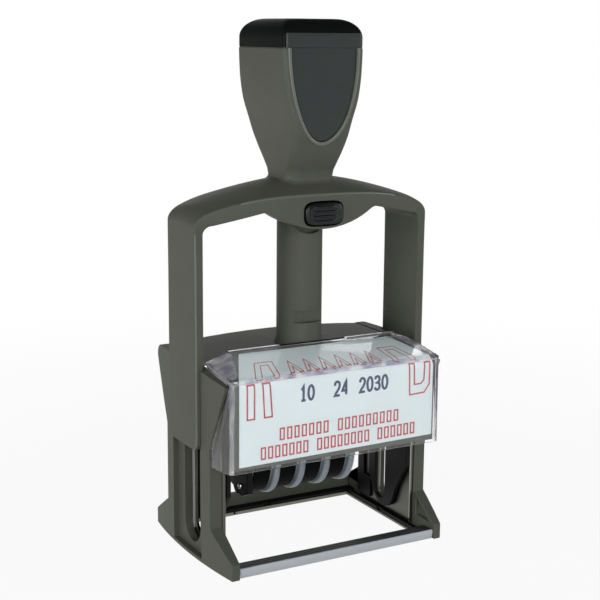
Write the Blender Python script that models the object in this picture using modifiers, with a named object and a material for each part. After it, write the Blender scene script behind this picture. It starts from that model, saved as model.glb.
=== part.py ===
"""Self-inking date stamp.

A press-down office stamp: two cheeks and a roof form the base, and a bow yoke with a grip slides
down a central column. The yoke's two pivot pins carry the die unit, which faces the ink pad at
rest and turns over on the way down. X is the stamp's width, Y its depth with the index window at
-Y, and Z is up. The origin is on the desk, under the middle of the stamp. Lengths are in metres.
"""

from math import acos, cos, pi, radians, sin, sqrt

import bmesh
import bpy
from mathutils import Matrix, Vector

# Sizes shared by several pieces
CLEARANCE = 0.0003
OVERRUN = 0.0020
STEEL_THICKNESS = 0.0012

# Pivot of the die unit: the press brings the printing face down to the desk
PIVOT_HEIGHT = 0.0430
DIE_REACH = 0.0090
DIE_FACE_Z = PIVOT_HEIGHT + DIE_REACH
PRESS_TRAVEL = PIVOT_HEIGHT - DIE_REACH
PIN_RADIUS = 0.0025
PIN_BORE_FLOOR = 0.0007

# Heights of the ink pad cassette, the column's nut and the roof over them
PAD_GAP = 0.0036
CASSETTE_BOTTOM_Z = DIE_FACE_Z + PAD_GAP
CASSETTE_HEIGHT = 0.0035
PAD_ROOM = 0.0007
SPIGOT_END = 0.0005
SPIGOT_BOTTOM_Z = CASSETTE_BOTTOM_Z + CASSETTE_HEIGHT + PAD_ROOM
NUT_HEIGHT = 0.0022
NUT_TOP_Z = SPIGOT_BOTTOM_Z + SPIGOT_END + NUT_HEIGHT
HOUSING_WALL = 0.0017
HOUSING_TOP_Z = NUT_TOP_Z + CLEARANCE + HOUSING_WALL

# Index window and the card under it
WINDOW_FRONT_DROP = 0.0031
WINDOW_HEIGHT = 0.0286
WINDOW_TOP_FRONT_Z = HOUSING_TOP_Z - WINDOW_FRONT_DROP
WINDOW_BOTTOM_Z = WINDOW_TOP_FRONT_Z - WINDOW_HEIGHT
WINDOW_RISE = 0.0050
WINDOW_WALL = 0.0010
WINDOW_CORNER_RADIUS = WINDOW_WALL
WINDOW_SIDE_LIP = 0.0013
WINDOW_FRONT_BEVEL = (0.0020, 0.0004)
WINDOW_BACK_BEVEL = (0.0080, 0.0028)
TAB_WIDTH = 0.0180
TAB_INNER_X = 0.0120
TAB_DEPTH = 0.0016
TAB_HEIGHT = 0.0006
CARD_SIDE_MARGIN = 0.0008
CARD_BACK_SIDE_MARGIN = 0.0024
CARD_SILL = 0.0016
CARD_THICKNESS = 0.0003
CARD_BACK_MARGIN = 0.0012

# Cheeks: the two side plates of the base
CHEEK_INNER_X = 0.0354
CHEEK_THICKNESS = 0.0026
FOOT_OUTER_X = CHEEK_INNER_X + CHEEK_THICKNESS
CHEEK_BOW = 0.0022
FOOT_HALF_DEPTH = 0.0285
FOOT_HEIGHT = 0.0051
BRACE_HEIGHT = 0.0127
BRACE_RUN = 0.0125
POST_HALF_DEPTH = FOOT_HALF_DEPTH - BRACE_RUN
FLARE_ABOVE_WINDOW = 0.0058
FLARE_START_Z = WINDOW_BOTTOM_Z + FLARE_ABOVE_WINDOW
FLARE_FRONT_RUN = 0.0090
FLARE_REAR_RUN = 0.0097
FLARE_FRONT_Y = POST_HALF_DEPTH + FLARE_FRONT_RUN
FLARE_REAR_Y = POST_HALF_DEPTH + FLARE_REAR_RUN
CHEEK_STEP = 0.0016
CHEEK_HEIGHT = HOUSING_TOP_Z - CHEEK_STEP
CHEEK_CORNER_RADIUS = 0.0039
FOOT_POCKET_DEPTH = 0.0013
FOOT_POCKET_MARGIN = 0.0017
BOW_SEGMENTS = 12

# Yoke's legs, and the channels that they run in
LEG_GAP = 0.0005
LEG_THICKNESS = 0.0026
LEG_INNER_X = FOOT_OUTER_X + LEG_GAP
LEG_OUTER_X = LEG_INNER_X + LEG_THICKNESS
LEG_BOW = 0.0014
LEG_HALF_DEPTH = 0.0101
LEG_BELOW_PIVOT = 0.0070
LEG_BOTTOM_Z = PIVOT_HEIGHT - LEG_BELOW_PIVOT
LEG_BOTTOM_RADIUS = 0.0030
CHANNEL_CLEARANCE = 0.0004
CHANNEL_SILL_HEIGHT = 0.0012

# Steel side plates and the cam guides on them
PLATE_OUTER_X = CHEEK_INNER_X - CLEARANCE
PLATE_INNER_X = PLATE_OUTER_X - STEEL_THICKNESS
PLATE_BOTTOM_Z = 0.0008
PLATE_TOP_DROP = 0.0049
PLATE_SLOT_CLEARANCE = 0.0018
CHEEK_SLOT_STEP = 0.0015
PLATE_SLOT_HALF_WIDTH = PIN_RADIUS + PLATE_SLOT_CLEARANCE
CHEEK_SLOT_HALF_WIDTH = PLATE_SLOT_HALF_WIDTH + CHEEK_SLOT_STEP
GUIDE_THICKNESS = 0.0014
GUIDE_OUTER_X = PLATE_INNER_X - CLEARANCE
GUIDE_INNER_X = GUIDE_OUTER_X - GUIDE_THICKNESS
GUIDE_ABOVE_PIVOT = 0.0070
GUIDE_SLOT_CLEARANCE = 0.0005
GUIDE_SLOT_HALF_WIDTH = PIN_RADIUS + GUIDE_SLOT_CLEARANCE
GUIDE_REAR_WALL = 0.0042
GUIDE_TOE_WALL = 0.0023
GUIDE_TOE_Y = 0.0040
GUIDE_HEEL_HEIGHT = 0.0093
GUIDE_FRONT_HEIGHT = 0.0183

# Bars and rails round the printing opening
BAR_BOTTOM_Z = 0.0002
BAR_HEIGHT = 0.0031
BAR_DEPTH = 0.0053
BAR_FRONT_Y = FOOT_HALF_DEPTH - CLEARANCE
BAR_BACK_Y = BAR_FRONT_Y - BAR_DEPTH
BAR_EDGE_RADIUS = 0.0009
GROOVE_WIDTH = 0.0006
GROOVE_DEPTH = 0.0005
RAIL_HEIGHT = 0.0021
RAIL_THICKNESS = 0.0014
BEAM_THICKNESS = 0.0032
BEAM_HEIGHT = 0.0060
BEAM_FRONT_Y = BAR_FRONT_Y - BEAM_THICKNESS
REAR_RAIL_DEPTH = 0.0034
REAR_RAIL_INNER_Y = BEAM_FRONT_Y - CLEARANCE - REAR_RAIL_DEPTH
NOTCH_WIDTH = 0.0026
NOTCH_DEPTH = 0.0011

# Column and the return spring in it
COLUMN_RADIUS = 0.0073
COLUMN_WALL = 0.0029
COLUMN_BORE_RADIUS = COLUMN_RADIUS - COLUMN_WALL
COLUMN_FLOOR = 0.0020
COLUMN_FLOOR_Z = HOUSING_TOP_Z + COLUMN_FLOOR
COLUMN_ENTRY = 0.0094
COLUMN_ROUND_SEGMENTS = 40
SPIGOT_STEP = 0.0023
SPIGOT_RADIUS = COLUMN_RADIUS - SPIGOT_STEP
NUT_RIM = 0.0030
LOWER_NOTCH_HEIGHT = 0.0040
UPPER_NOTCH_HEIGHT = 0.0085
SPRING_WIRE_RADIUS = 0.00055
SPRING_SIDE_GAP = 0.00045
SPRING_RADIUS = COLUMN_BORE_RADIUS - SPRING_SIDE_GAP - SPRING_WIRE_RADIUS
SPRING_TURNS = 15
SPRING_POINTS_PER_TURN = 10

# Depths of the window and the housing behind it
WINDOW_SIDE_INSET = 0.0006
WINDOW_HALF_WIDTH = FOOT_OUTER_X - WINDOW_SIDE_INSET
WINDOW_NOSE = 0.0015
WINDOW_FRONT_Y = FLARE_FRONT_Y + WINDOW_NOSE
WINDOW_COLUMN_GAP = 0.0012
WINDOW_BACK_Y = COLUMN_RADIUS + WINDOW_COLUMN_GAP
HOUSING_FRONT_Y = WINDOW_FRONT_Y - WINDOW_WALL - CARD_THICKNESS - 2 * CLEARANCE
HOUSING_FRONT_LIP = 0.0006
HOUSING_REAR_HEIGHT = 0.0120
HOUSING_BOTTOM_REAR_Z = HOUSING_TOP_Z - HOUSING_REAR_HEIGHT
HOUSING_CROWN = 0.0018
HOUSING_SEGMENTS = 10

# Ink pad cassette on its rails
CASSETTE_WALL = 0.0011
CASSETTE_FRONT_GAP = 0.0026
CASSETTE_REAR_INSET = 0.0014
CASSETTE_FRONT_Y = HOUSING_FRONT_Y - HOUSING_WALL - CASSETTE_FRONT_GAP
CASSETTE_REAR_Y = FLARE_REAR_Y - CASSETTE_REAR_INSET
LIP_GAP = 0.0005
LIP_WIDTH = 0.0023
LIP_HEIGHT = 0.0009
LIP_HALF_WIDTH = GUIDE_OUTER_X - LIP_GAP
CASSETTE_HALF_WIDTH = LIP_HALF_WIDTH - LIP_WIDTH
CASSETTE_TAB_HALF_WIDTH = 0.0110
CASSETTE_TAB_LENGTH = 0.0038
CASSETTE_TAB_THICKNESS = 0.0016
LEDGE_SIDE_GAP = 0.0007
LEDGE_HEIGHT = 0.0010
LEDGE_FRONT_INSET = 0.0023
LEDGE_REAR_INSET = 0.0038

# Yoke's arch over the roof and round the column
PRESS_MARGIN = 0.0041
BOSS_BOTTOM_Z = HOUSING_TOP_Z + PRESS_TRAVEL + PRESS_MARGIN
BOSS_DEPTH = 0.0058
BOSS_HALF_WIDTH = 0.0210
COLUMN_TOP_Z = BOSS_BOTTOM_Z + COLUMN_ENTRY
ARCH_UNDERSIDE_Z = BOSS_BOTTOM_Z + BOSS_DEPTH
ARCH_UNDERSIDE_DROP = 0.0054
ARCH_UNDERSIDE_END_Z = ARCH_UNDERSIDE_Z - ARCH_UNDERSIDE_DROP
ARCH_FACE_HEIGHT = 0.0048
ARCH_FRONT_EDGE_Z = ARCH_UNDERSIDE_Z + ARCH_FACE_HEIGHT
ARCH_FRONT_EDGE_DROP = 0.0054
ARCH_RISE = 0.0050
ARCH_TOP_Z = ARCH_FRONT_EDGE_Z + ARCH_RISE
ARCH_TOP_DROP = 0.0083
ARCH_SLOPE_RUN_SHARE = 1.1
ARCH_BULGE = 0.0055
ARCH_SHOULDER_RADIUS = 0.0045
ARCH_FILLET = 0.0034
YOKE_BORE_CLEARANCE = 0.0003

# Grip, cap and the panel let into its front
GRIP_BOTTOM_Z = ARCH_TOP_Z + CLEARANCE
GRIP_HEIGHT = 0.0401
GRIP_TOP_Z = GRIP_BOTTOM_Z + GRIP_HEIGHT
GRIP_CAVITY_RADIUS = COLUMN_RADIUS + YOKE_BORE_CLEARANCE
GRIP_NECK_WALL = 0.0009
GRIP_NECK_HALF_WIDTH = GRIP_CAVITY_RADIUS + GRIP_NECK_WALL
GRIP_TOP_HALF_WIDTH = 0.0139
GRIP_TOP_HALF_DEPTH = 0.0147
GRIP_ROOF = 0.0086
GRIP_CAVITY_TOP_Z = GRIP_TOP_Z - GRIP_ROOF
CAP_HEIGHT = 0.0080
CAP_TOP_Z = GRIP_TOP_Z + CAP_HEIGHT
CAP_EDGE_RADIUS = 0.0056
CAP_CORNER_RADIUS = 0.0016
CAP_WALL = 0.0024
PANEL_SIDE_MARGIN = 0.0028
PANEL_HALF_WIDTH = GRIP_TOP_HALF_WIDTH - PANEL_SIDE_MARGIN
PANEL_DROP = 0.0286
PANEL_TOP_MARGIN = 0.0029
PANEL_TOP_Z = CAP_TOP_Z - PANEL_TOP_MARGIN
PANEL_THICKNESS = 0.0012

# Lock button in the arch
BUTTON_HALF_WIDTH = 0.00685
BUTTON_HALF_HEIGHT = 0.0038
BUTTON_RISE = 0.0054
BUTTON_CENTRE_Z = BOSS_BOTTOM_Z + BUTTON_RISE
BUTTON_PROUD = 0.0009
BUTTON_DEPTH = 0.0034
BUTTON_TRAVEL = 0.0020
BUTTON_RIB_PITCH = 0.0016
BUTTON_RIB_HEIGHT = 0.0005
BUTTON_POCKET_GAP = 0.0003
TONGUE_HALF_WIDTH = 0.0030
TONGUE_HALF_HEIGHT = 0.0010
NOTCH_FLOOR_GAP = 0.0001
LOCK_NOTCH_DEPTH = BUTTON_TRAVEL + NOTCH_FLOOR_GAP

# Die unit: chassis, text plate and rubber
RUBBER_THICKNESS = 0.0009
TEXT_PLATE_THICKNESS = 0.0008
RUBBER_BOTTOM_Z = DIE_FACE_Z - RUBBER_THICKNESS
TEXT_PLATE_BOTTOM_Z = RUBBER_BOTTOM_Z - CLEARANCE - TEXT_PLATE_THICKNESS
CHASSIS_THICKNESS = 0.0027
CHASSIS_TOP_Z = TEXT_PLATE_BOTTOM_Z - CLEARANCE
CHASSIS_BOTTOM_Z = CHASSIS_TOP_Z - CHASSIS_THICKNESS
CHASSIS_SIDE_GAP = 0.0011
CHASSIS_END_GAP = 0.0013
CHASSIS_HALF_WIDTH = GUIDE_INNER_X - CHASSIS_SIDE_GAP
CHASSIS_HALF_DEPTH = REAR_RAIL_INNER_Y - CHASSIS_END_GAP
EAR_THICKNESS = 0.0016
EAR_RIM = 0.0024
PIN_END = 0.0007
PIN_INNER_X = CHASSIS_HALF_WIDTH - EAR_THICKNESS - PIN_END
TEXT_PLATE_SIDE_MARGIN = 0.0018
TEXT_PLATE_END_MARGIN = 0.0005
TEXT_PLATE_HALF_WIDTH = CHASSIS_HALF_WIDTH - TEXT_PLATE_SIDE_MARGIN
TEXT_PLATE_HALF_DEPTH = CHASSIS_HALF_DEPTH - TEXT_PLATE_END_MARGIN
DIE_RELIEF = 0.0006
DIE_BORDER_WIDTH = 0.0009
DIE_RULE_WIDTH = 0.0012
DIE_RULE_INSET = 0.0084

# Date wheels, bands and what holds them
WHEEL_COUNT = 4
DATE_LEFT_MARGIN = 0.00742
DATE_RIGHT_MARGIN = 0.0145
FIRST_DRUM_LEFT_X = DATE_LEFT_MARGIN - TEXT_PLATE_HALF_WIDTH
LAST_RIM_RIGHT_X = TEXT_PLATE_HALF_WIDTH - DATE_RIGHT_MARGIN
WHEEL_PITCH = (LAST_RIM_RIGHT_X - FIRST_DRUM_LEFT_X) / WHEEL_COUNT
WHEEL_DROP = 0.0150
WHEEL_CENTRE_Z = PIVOT_HEIGHT - WHEEL_DROP
RIM_WIDTH = 0.0027
RIM_STEP = 0.0020
RIM_TOOTH_DEPTH = 0.0003
RIM_TEETH = 60
DRUM_RADIUS = 0.0100
RIM_RADIUS = DRUM_RADIUS + RIM_STEP
AXLE_RADIUS = 0.0015
AXLE_END = 0.0009
WHEEL_BORE_RADIUS = AXLE_RADIUS + CLEARANCE
BAND_THICKNESS = 0.0007
ANVIL_RADIUS = 0.0023
BRACKET_THICKNESS = 0.0012
BRACKET_TOE_INSET = 0.0010
BRACKET_HEAD_HALF_DEPTH = 0.0050
BAND_WINDOW_GAP = 0.0008

# Colours, as linear red, green and blue
BODY_PAINT = (0.098, 0.102, 0.082)
BLACK_PLASTIC = (0.010, 0.011, 0.011)
STEEL = (0.50, 0.51, 0.52)
ALUMINIUM = (0.62, 0.64, 0.66)
CLEAR_PLASTIC = (0.86, 0.88, 0.92)
CARD_WHITE = (0.74, 0.79, 0.82)
WHEEL_GREY = (0.42, 0.47, 0.53)
PAD_INK = (0.045, 0.010, 0.020)
RUBBER = (0.16, 0.05, 0.05)
FLEXIBLE_BAND = (0.016, 0.016, 0.015)

CIRCLE_SEGMENTS = 32
BEVEL_RINGS = 5
ARC_SEGMENTS = 6


def clear_scene():
    """Remove whatever the file opened with."""
    for obj in list(bpy.data.objects):
        bpy.data.objects.remove(obj, do_unlink=True)


def new_collection(name):
    """Make a collection in the scene."""
    collection = bpy.data.collections.new(name)
    bpy.context.scene.collection.children.link(collection)
    return collection


def finish(colour, roughness, metallic=0.0):
    """Describe a surface, which colour_piece turns into a material of the piece's own."""
    return {"colour": colour, "roughness": roughness, "metallic": metallic}


def colour_piece(obj, surface):
    """Give the piece its own Principled material."""
    material = bpy.data.materials.new(obj.name + "_surface")
    material.use_nodes = True
    shader = material.node_tree.nodes["Principled BSDF"]
    shader.inputs["Base Color"].default_value = (*surface["colour"], 1.0)
    shader.inputs["Roughness"].default_value = surface["roughness"]
    shader.inputs["Metallic"].default_value = surface["metallic"]
    obj.data.materials.clear()
    obj.data.materials.append(material)


def place(name, mesh, collection):
    """Put a mesh in a collection as an object."""
    obj = bpy.data.objects.new(name, mesh)
    collection.objects.link(obj)
    return obj


def smooth(obj, angle=radians(35)):
    """Shade the round faces smooth and keep the hard edges."""
    obj.data.shade_smooth()
    obj.data.set_sharp_from_angle(angle=angle)


def mesh_from(bm, name):
    """Turn an edit mesh into a mesh with its faces pointing out."""
    bmesh.ops.recalc_face_normals(bm, faces=bm.faces)
    mesh = bpy.data.meshes.new(name)
    bm.to_mesh(mesh)
    bm.free()
    return mesh


def box(name, low, high, collection):
    """A rectangular block between two corners."""
    centre = [(a + b) / 2 for a, b in zip(low, high)]
    size = [b - a for a, b in zip(low, high)]
    bm = bmesh.new()
    bmesh.ops.create_cube(bm, size=1.0, matrix=Matrix.Translation(centre) @ Matrix.Diagonal((*size, 1.0)))
    return place(name, mesh_from(bm, name), collection)


def rod(name, axis, centre, radius, low, high, collection, segments=CIRCLE_SEGMENTS):
    """A round bar along X, Y or Z between two places on that axis."""
    turn = {"X": Matrix.Rotation(pi / 2, 4, "Y"), "Y": Matrix.Rotation(-pi / 2, 4, "X"), "Z": Matrix()}[axis]
    middle = Vector(centre)
    middle["XYZ".index(axis)] = (low + high) / 2
    bm = bmesh.new()
    bmesh.ops.create_cone(
        bm, cap_ends=True, segments=segments, radius1=radius, radius2=radius,
        depth=high - low, matrix=Matrix.Translation(middle) @ turn,
    )
    return place(name, mesh_from(bm, name), collection)


def slab(name, outlines, axis, low, high, collection):
    """A flat outline, with any holes in it, extruded along an axis.

    Outlines are in (y, z) for X, (x, z) for Y and (x, y) for Z.
    """
    columns = {
        "X": ((0, 1, 0), (0, 0, 1), (1, 0, 0)),
        "Y": ((1, 0, 0), (0, 0, 1), (0, -1, 0)),
        "Z": ((1, 0, 0), (0, 1, 0), (0, 0, 1)),
    }[axis]
    turn = Matrix(columns).transposed().to_4x4()
    offset = Vector((0, 0, 0))
    offset["XYZ".index(axis)] = (low + high) / 2
    curve = bpy.data.curves.new(name, "CURVE")
    curve.dimensions = "2D"
    curve.fill_mode = "BOTH"
    curve.extrude = (high - low) / 2
    for outline in outlines:
        spline = curve.splines.new("POLY")
        spline.points.add(len(outline) - 1)
        for point, (u, v) in zip(spline.points, outline):
            point.co = (u, v, 0, 1)
        spline.use_cyclic_u = True
    drawn = place(name + "_outline", curve, collection)
    drawn.matrix_world = Matrix.Translation(offset) @ turn
    bpy.context.view_layer.update()
    evaluated = drawn.evaluated_get(bpy.context.evaluated_depsgraph_get())
    mesh = bpy.data.meshes.new_from_object(evaluated)
    world = drawn.matrix_world.copy()
    bpy.data.objects.remove(drawn, do_unlink=True)
    bm = bmesh.new()
    bm.from_mesh(mesh)
    bpy.data.meshes.remove(mesh)
    bm.transform(world)
    bmesh.ops.remove_doubles(bm, verts=bm.verts, dist=CLEARANCE / 30)
    return place(name, mesh_from(bm, name), collection)


def loft(name, rings, collection):
    """A closed solid through rings that have the same number of points."""
    bm = bmesh.new()
    loops = [[bm.verts.new(point) for point in ring] for ring in rings]
    for lower, upper in zip(loops, loops[1:]):
        for i in range(len(lower)):
            j = (i + 1) % len(lower)
            bm.faces.new((lower[i], lower[j], upper[j], upper[i]))
    bm.faces.new(loops[0])
    bm.faces.new(loops[-1])
    return place(name, mesh_from(bm, name), collection)


def folded_sheet(name, rows, thickness, collection):
    """A sheet through rows of points, thickened inwards."""
    bm = bmesh.new()
    grid = [[bm.verts.new(point) for point in row] for row in rows]
    for upper, lower in zip(grid, grid[1:]):
        for i in range(len(upper) - 1):
            bm.faces.new((upper[i], upper[i + 1], lower[i + 1], lower[i]))
    mesh = bpy.data.meshes.new(name)
    bm.to_mesh(mesh)
    bm.free()
    obj = place(name, mesh, collection)
    shell = obj.modifiers.new("wall", "SOLIDIFY")
    shell.thickness = thickness
    shell.offset = -1.0
    shell.use_even_offset = True
    return obj


def bevel_edges(obj, wanted, width, segments):
    """Round the edges whose two ends both pass the test."""
    bm = bmesh.new()
    bm.from_mesh(obj.data)
    bmesh.ops.dissolve_limit(bm, angle_limit=radians(0.5), verts=bm.verts, edges=bm.edges)
    edges = [edge for edge in bm.edges if wanted(edge.verts[0].co, edge.verts[1].co)]
    bmesh.ops.bevel(bm, geom=edges, offset=width, segments=segments, profile=0.5, affect="EDGES")
    bm.to_mesh(obj.data)
    bm.free()


def shape_with(obj, tool, operation, cutters):
    """Cut, join or intersect a piece with a guide shape, which stays out of the render."""
    modifier = obj.modifiers.new(operation.lower(), "BOOLEAN")
    modifier.operation = operation
    modifier.object = tool
    modifier.solver = "EXACT"
    for collection in list(tool.users_collection):
        collection.objects.unlink(tool)
    cutters.objects.link(tool)
    tool.hide_render = True
    tool.display_type = "WIRE"


def arc(centre, radius, start, end, segments=ARC_SEGMENTS):
    """Points of a circular arc between two angles in degrees."""
    angles = [radians(start + (end - start) * i / segments) for i in range(segments + 1)]
    return [(centre[0] + radius * cos(a), centre[1] + radius * sin(a)) for a in angles]


def rounded_rectangle(half_width, half_depth, radius, z, segments=3):
    """A ring of points at one height, round at its four corners."""
    ring = []
    for sign_x, sign_y, start in ((1, 1, 0), (-1, 1, 90), (-1, -1, 180), (1, -1, 270)):
        centre = (sign_x * (half_width - radius), sign_y * (half_depth - radius))
        ring += [(x, y, z) for x, y in arc(centre, radius, start, start + 90, segments)]
    return ring


def slot_outline(half_width, bottom, top, centre_y=0.0):
    """A slot with round ends, in (y, z), between its lowest and highest points."""
    lower = arc((centre_y, bottom + half_width), half_width, 180, 360, 10)
    upper = arc((centre_y, top - half_width), half_width, 0, 180, 10)
    return lower + upper


def span(side, near, far):
    """Low and high X of a piece that lies between two distances on one side."""
    return sorted((side * near, side * far))


def move_origin(obj, origin):
    """Put a piece's origin at a point without moving the piece."""
    obj.data.transform(Matrix.Translation(-Vector(origin)))
    obj.location = origin


def window_top(y, depth=0.0):
    """Height of the index window's sloping top at a place, or of a layer under it."""
    slope = WINDOW_RISE / (WINDOW_FRONT_Y - WINDOW_BACK_Y)
    return WINDOW_TOP_FRONT_Z + slope * (y + WINDOW_FRONT_Y) - depth * sqrt(1 + slope ** 2)


def window_bevel(y):
    """Width and drop of the bevel at each end of the window's top, growing towards the back."""
    back_share = (y + WINDOW_FRONT_Y) / (WINDOW_FRONT_Y - WINDOW_BACK_Y)
    return [a + (b - a) * back_share for a, b in zip(WINDOW_FRONT_BEVEL, WINDOW_BACK_BEVEL)]


def window_seat(y):
    """Top of the cheek under the window's side lip."""
    return window_top(y) - window_bevel(y)[1] - WINDOW_SIDE_LIP - CLEARANCE


def cheek_bow(y):
    """Outer X of a cheek at a place along its depth."""
    return FOOT_OUTER_X + CHEEK_BOW * (1 - (y / FOOT_HALF_DEPTH) ** 2)


def cheek_profile():
    """Side view of a cheek: foot, post, flared head."""
    step = -WINDOW_BACK_Y + CLEARANCE
    corner = (FLARE_REAR_Y - CHEEK_CORNER_RADIUS, CHEEK_HEIGHT - CHEEK_CORNER_RADIUS)
    head = arc(corner, CHEEK_CORNER_RADIUS, 90, 0, 5)
    return [
        (-FOOT_HALF_DEPTH, 0),
        (-FOOT_HALF_DEPTH, FOOT_HEIGHT),
        (-POST_HALF_DEPTH, BRACE_HEIGHT),
        (-POST_HALF_DEPTH, FLARE_START_Z),
        (-FLARE_FRONT_Y, window_seat(-FLARE_FRONT_Y)),
        (step, window_seat(step)),
        (step, CHEEK_HEIGHT),
        *head,
        (POST_HALF_DEPTH, FLARE_START_Z),
        (POST_HALF_DEPTH, BRACE_HEIGHT),
        (FOOT_HALF_DEPTH, FOOT_HEIGHT),
        (FOOT_HALF_DEPTH, 0),
    ]


def foot_pocket(direction):
    """Triangle sunk in the inner face of a foot brace, in front of or behind the post."""
    margin = FOOT_POCKET_MARGIN
    return [
        (direction * (POST_HALF_DEPTH + margin), FOOT_HEIGHT),
        (direction * (FOOT_HALF_DEPTH - 2 * margin), FOOT_HEIGHT),
        (direction * (POST_HALF_DEPTH + margin), BRACE_HEIGHT - margin),
    ]


def make_cheek(name, side, parts, cutters):
    """A side plate of the base, bowed outwards, with the channel that the yoke's leg runs in."""
    ys = [FOOT_HALF_DEPTH * (2 * i / BOW_SEGMENTS - 1) for i in range(BOW_SEGMENTS + 1)]
    plan = [(side * cheek_bow(y), y) for y in ys]
    plan += [(side * CHEEK_INNER_X, FOOT_HALF_DEPTH), (side * CHEEK_INNER_X, -FOOT_HALF_DEPTH)]
    cheek = slab(name, [plan], "Z", 0, CHEEK_HEIGHT, parts)
    reach = span(side, CHEEK_INNER_X - OVERRUN, FOOT_OUTER_X + CHEEK_BOW + OVERRUN)
    profile = slab(name + "_profile", [cheek_profile()], "X", *reach, parts)
    shape_with(cheek, profile, "INTERSECT", cutters)
    x_low, x_high = span(side, FOOT_OUTER_X, FOOT_OUTER_X + CHEEK_BOW + OVERRUN)
    half = LEG_HALF_DEPTH + CHANNEL_CLEARANCE
    channel = box(
        name + "_channel", (x_low, -half, CHANNEL_SILL_HEIGHT), (x_high, half, CHEEK_HEIGHT + OVERRUN), parts
    )
    shape_with(cheek, channel, "DIFFERENCE", cutters)
    bottom = PIVOT_HEIGHT - PRESS_TRAVEL - CHEEK_SLOT_HALF_WIDTH
    top = PIVOT_HEIGHT + CHEEK_SLOT_HALF_WIDTH
    slot = slab(name + "_slot", [slot_outline(CHEEK_SLOT_HALF_WIDTH, bottom, top)], "X", *reach, parts)
    shape_with(cheek, slot, "DIFFERENCE", cutters)
    for direction, end in ((-1, "front"), (1, "rear")):
        sunk = span(side, CHEEK_INNER_X - OVERRUN, CHEEK_INNER_X + FOOT_POCKET_DEPTH)
        pocket = slab(f"{name}_{end}_pocket", [foot_pocket(direction)], "X", *sunk, parts)
        shape_with(cheek, pocket, "DIFFERENCE", cutters)
    return cheek


def pin_slot(half_width):
    """Outline of a slot that lets the pivot pin travel, in (y, z)."""
    return slot_outline(half_width, PIVOT_HEIGHT - PRESS_TRAVEL - half_width, PIVOT_HEIGHT + half_width)


def make_steel_plate(name, side, parts):
    """Pressed steel plate that lines a cheek, with the polished slot for the pivot pin."""
    half = POST_HALF_DEPTH - CLEARANCE
    top = CHEEK_HEIGHT - PLATE_TOP_DROP
    outline = [(-half, PLATE_BOTTOM_Z), (half, PLATE_BOTTOM_Z), (half, top), (-half, top)]
    reach = span(side, PLATE_INNER_X, PLATE_OUTER_X)
    return slab(name, [outline, pin_slot(PLATE_SLOT_HALF_WIDTH)], "X", *reach, parts)


def make_cam_guide(name, side, parts):
    """Black cam guide that turns the die unit, with a lobed toe near the desk."""
    bottom = DIE_REACH - GUIDE_SLOT_HALF_WIDTH - GUIDE_TOE_WALL
    heel = bottom + GUIDE_HEEL_HEIGHT
    front = bottom + GUIDE_FRONT_HEIGHT
    top = PIVOT_HEIGHT + GUIDE_ABOVE_PIVOT
    rear_y = GUIDE_SLOT_HALF_WIDTH + GUIDE_REAR_WALL
    toe_radius = heel / 2
    toe = arc((-GUIDE_TOE_Y / 2, bottom + toe_radius), toe_radius, 215, 325, 8)
    outline = [
        (-POST_HALF_DEPTH, front),
        (-(POST_HALF_DEPTH + GUIDE_TOE_Y) / 2, (front + bottom) / 2),
        *toe,
        (rear_y, heel),
        (rear_y, top),
        (-POST_HALF_DEPTH, top),
    ]
    reach = span(side, GUIDE_INNER_X, GUIDE_OUTER_X)
    return slab(name, [outline, pin_slot(GUIDE_SLOT_HALF_WIDTH)], "X", *reach, parts)


def bar_section():
    """Section of the front bar in (y, z): rounded nose, two grooves in its top."""
    top = BAR_BOTTOM_Z + BAR_HEIGHT
    nose = arc((-BAR_FRONT_Y + BAR_EDGE_RADIUS, top - BAR_EDGE_RADIUS), BAR_EDGE_RADIUS, 180, 90, 4)
    outline = [(-BAR_FRONT_Y, BAR_BOTTOM_Z), *nose]
    depth = BAR_FRONT_Y - BAR_BACK_Y
    for share in (2 / 5, 7 / 10):
        y = -BAR_FRONT_Y + depth * share
        floor, back = top - GROOVE_DEPTH, y + GROOVE_WIDTH
        outline += [(y, top), (y, floor), (back, floor), (back, top)]
    outline += [(-BAR_BACK_Y, top), (-BAR_BACK_Y, BAR_BOTTOM_Z)]
    return outline


def bar_half_length():
    """Half length of what spans between the cheeks."""
    return CHEEK_INNER_X - CLEARANCE


def make_front_bar(parts):
    """Bright aluminium bar between the front feet."""
    return slab("front_bar", [bar_section()], "X", -bar_half_length(), bar_half_length(), parts)


def make_rear_beam(parts):
    """Painted beam between the rear feet."""
    half = bar_half_length()
    return box(
        "rear_beam", (-half, BEAM_FRONT_Y, BAR_BOTTOM_Z), (half, BAR_FRONT_Y, BEAM_HEIGHT), parts
    )


def make_rear_rail(parts, cutters):
    """Bright rail along the rear of the opening, notched at its middle."""
    top = BAR_BOTTOM_Z + RAIL_HEIGHT
    back = BEAM_FRONT_Y - CLEARANCE
    middle = (REAR_RAIL_INNER_Y + back) / 2
    outline = [
        (REAR_RAIL_INNER_Y, BAR_BOTTOM_Z),
        (REAR_RAIL_INNER_Y, top),
        (middle, top),
        (middle, top - GROOVE_DEPTH),
        (middle + GROOVE_WIDTH, top - GROOVE_DEPTH),
        (middle + GROOVE_WIDTH, top),
        (back, top),
        (back, BAR_BOTTOM_Z),
    ]
    rail = slab("rear_rail", [outline], "X", -bar_half_length(), bar_half_length(), parts)
    notch = box(
        "rear_rail_notch",
        (-NOTCH_WIDTH / 2, REAR_RAIL_INNER_Y - OVERRUN, BAR_BOTTOM_Z - OVERRUN),
        (NOTCH_WIDTH / 2, REAR_RAIL_INNER_Y + NOTCH_DEPTH, top + OVERRUN),
        parts,
    )
    shape_with(rail, notch, "DIFFERENCE", cutters)
    return rail


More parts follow.
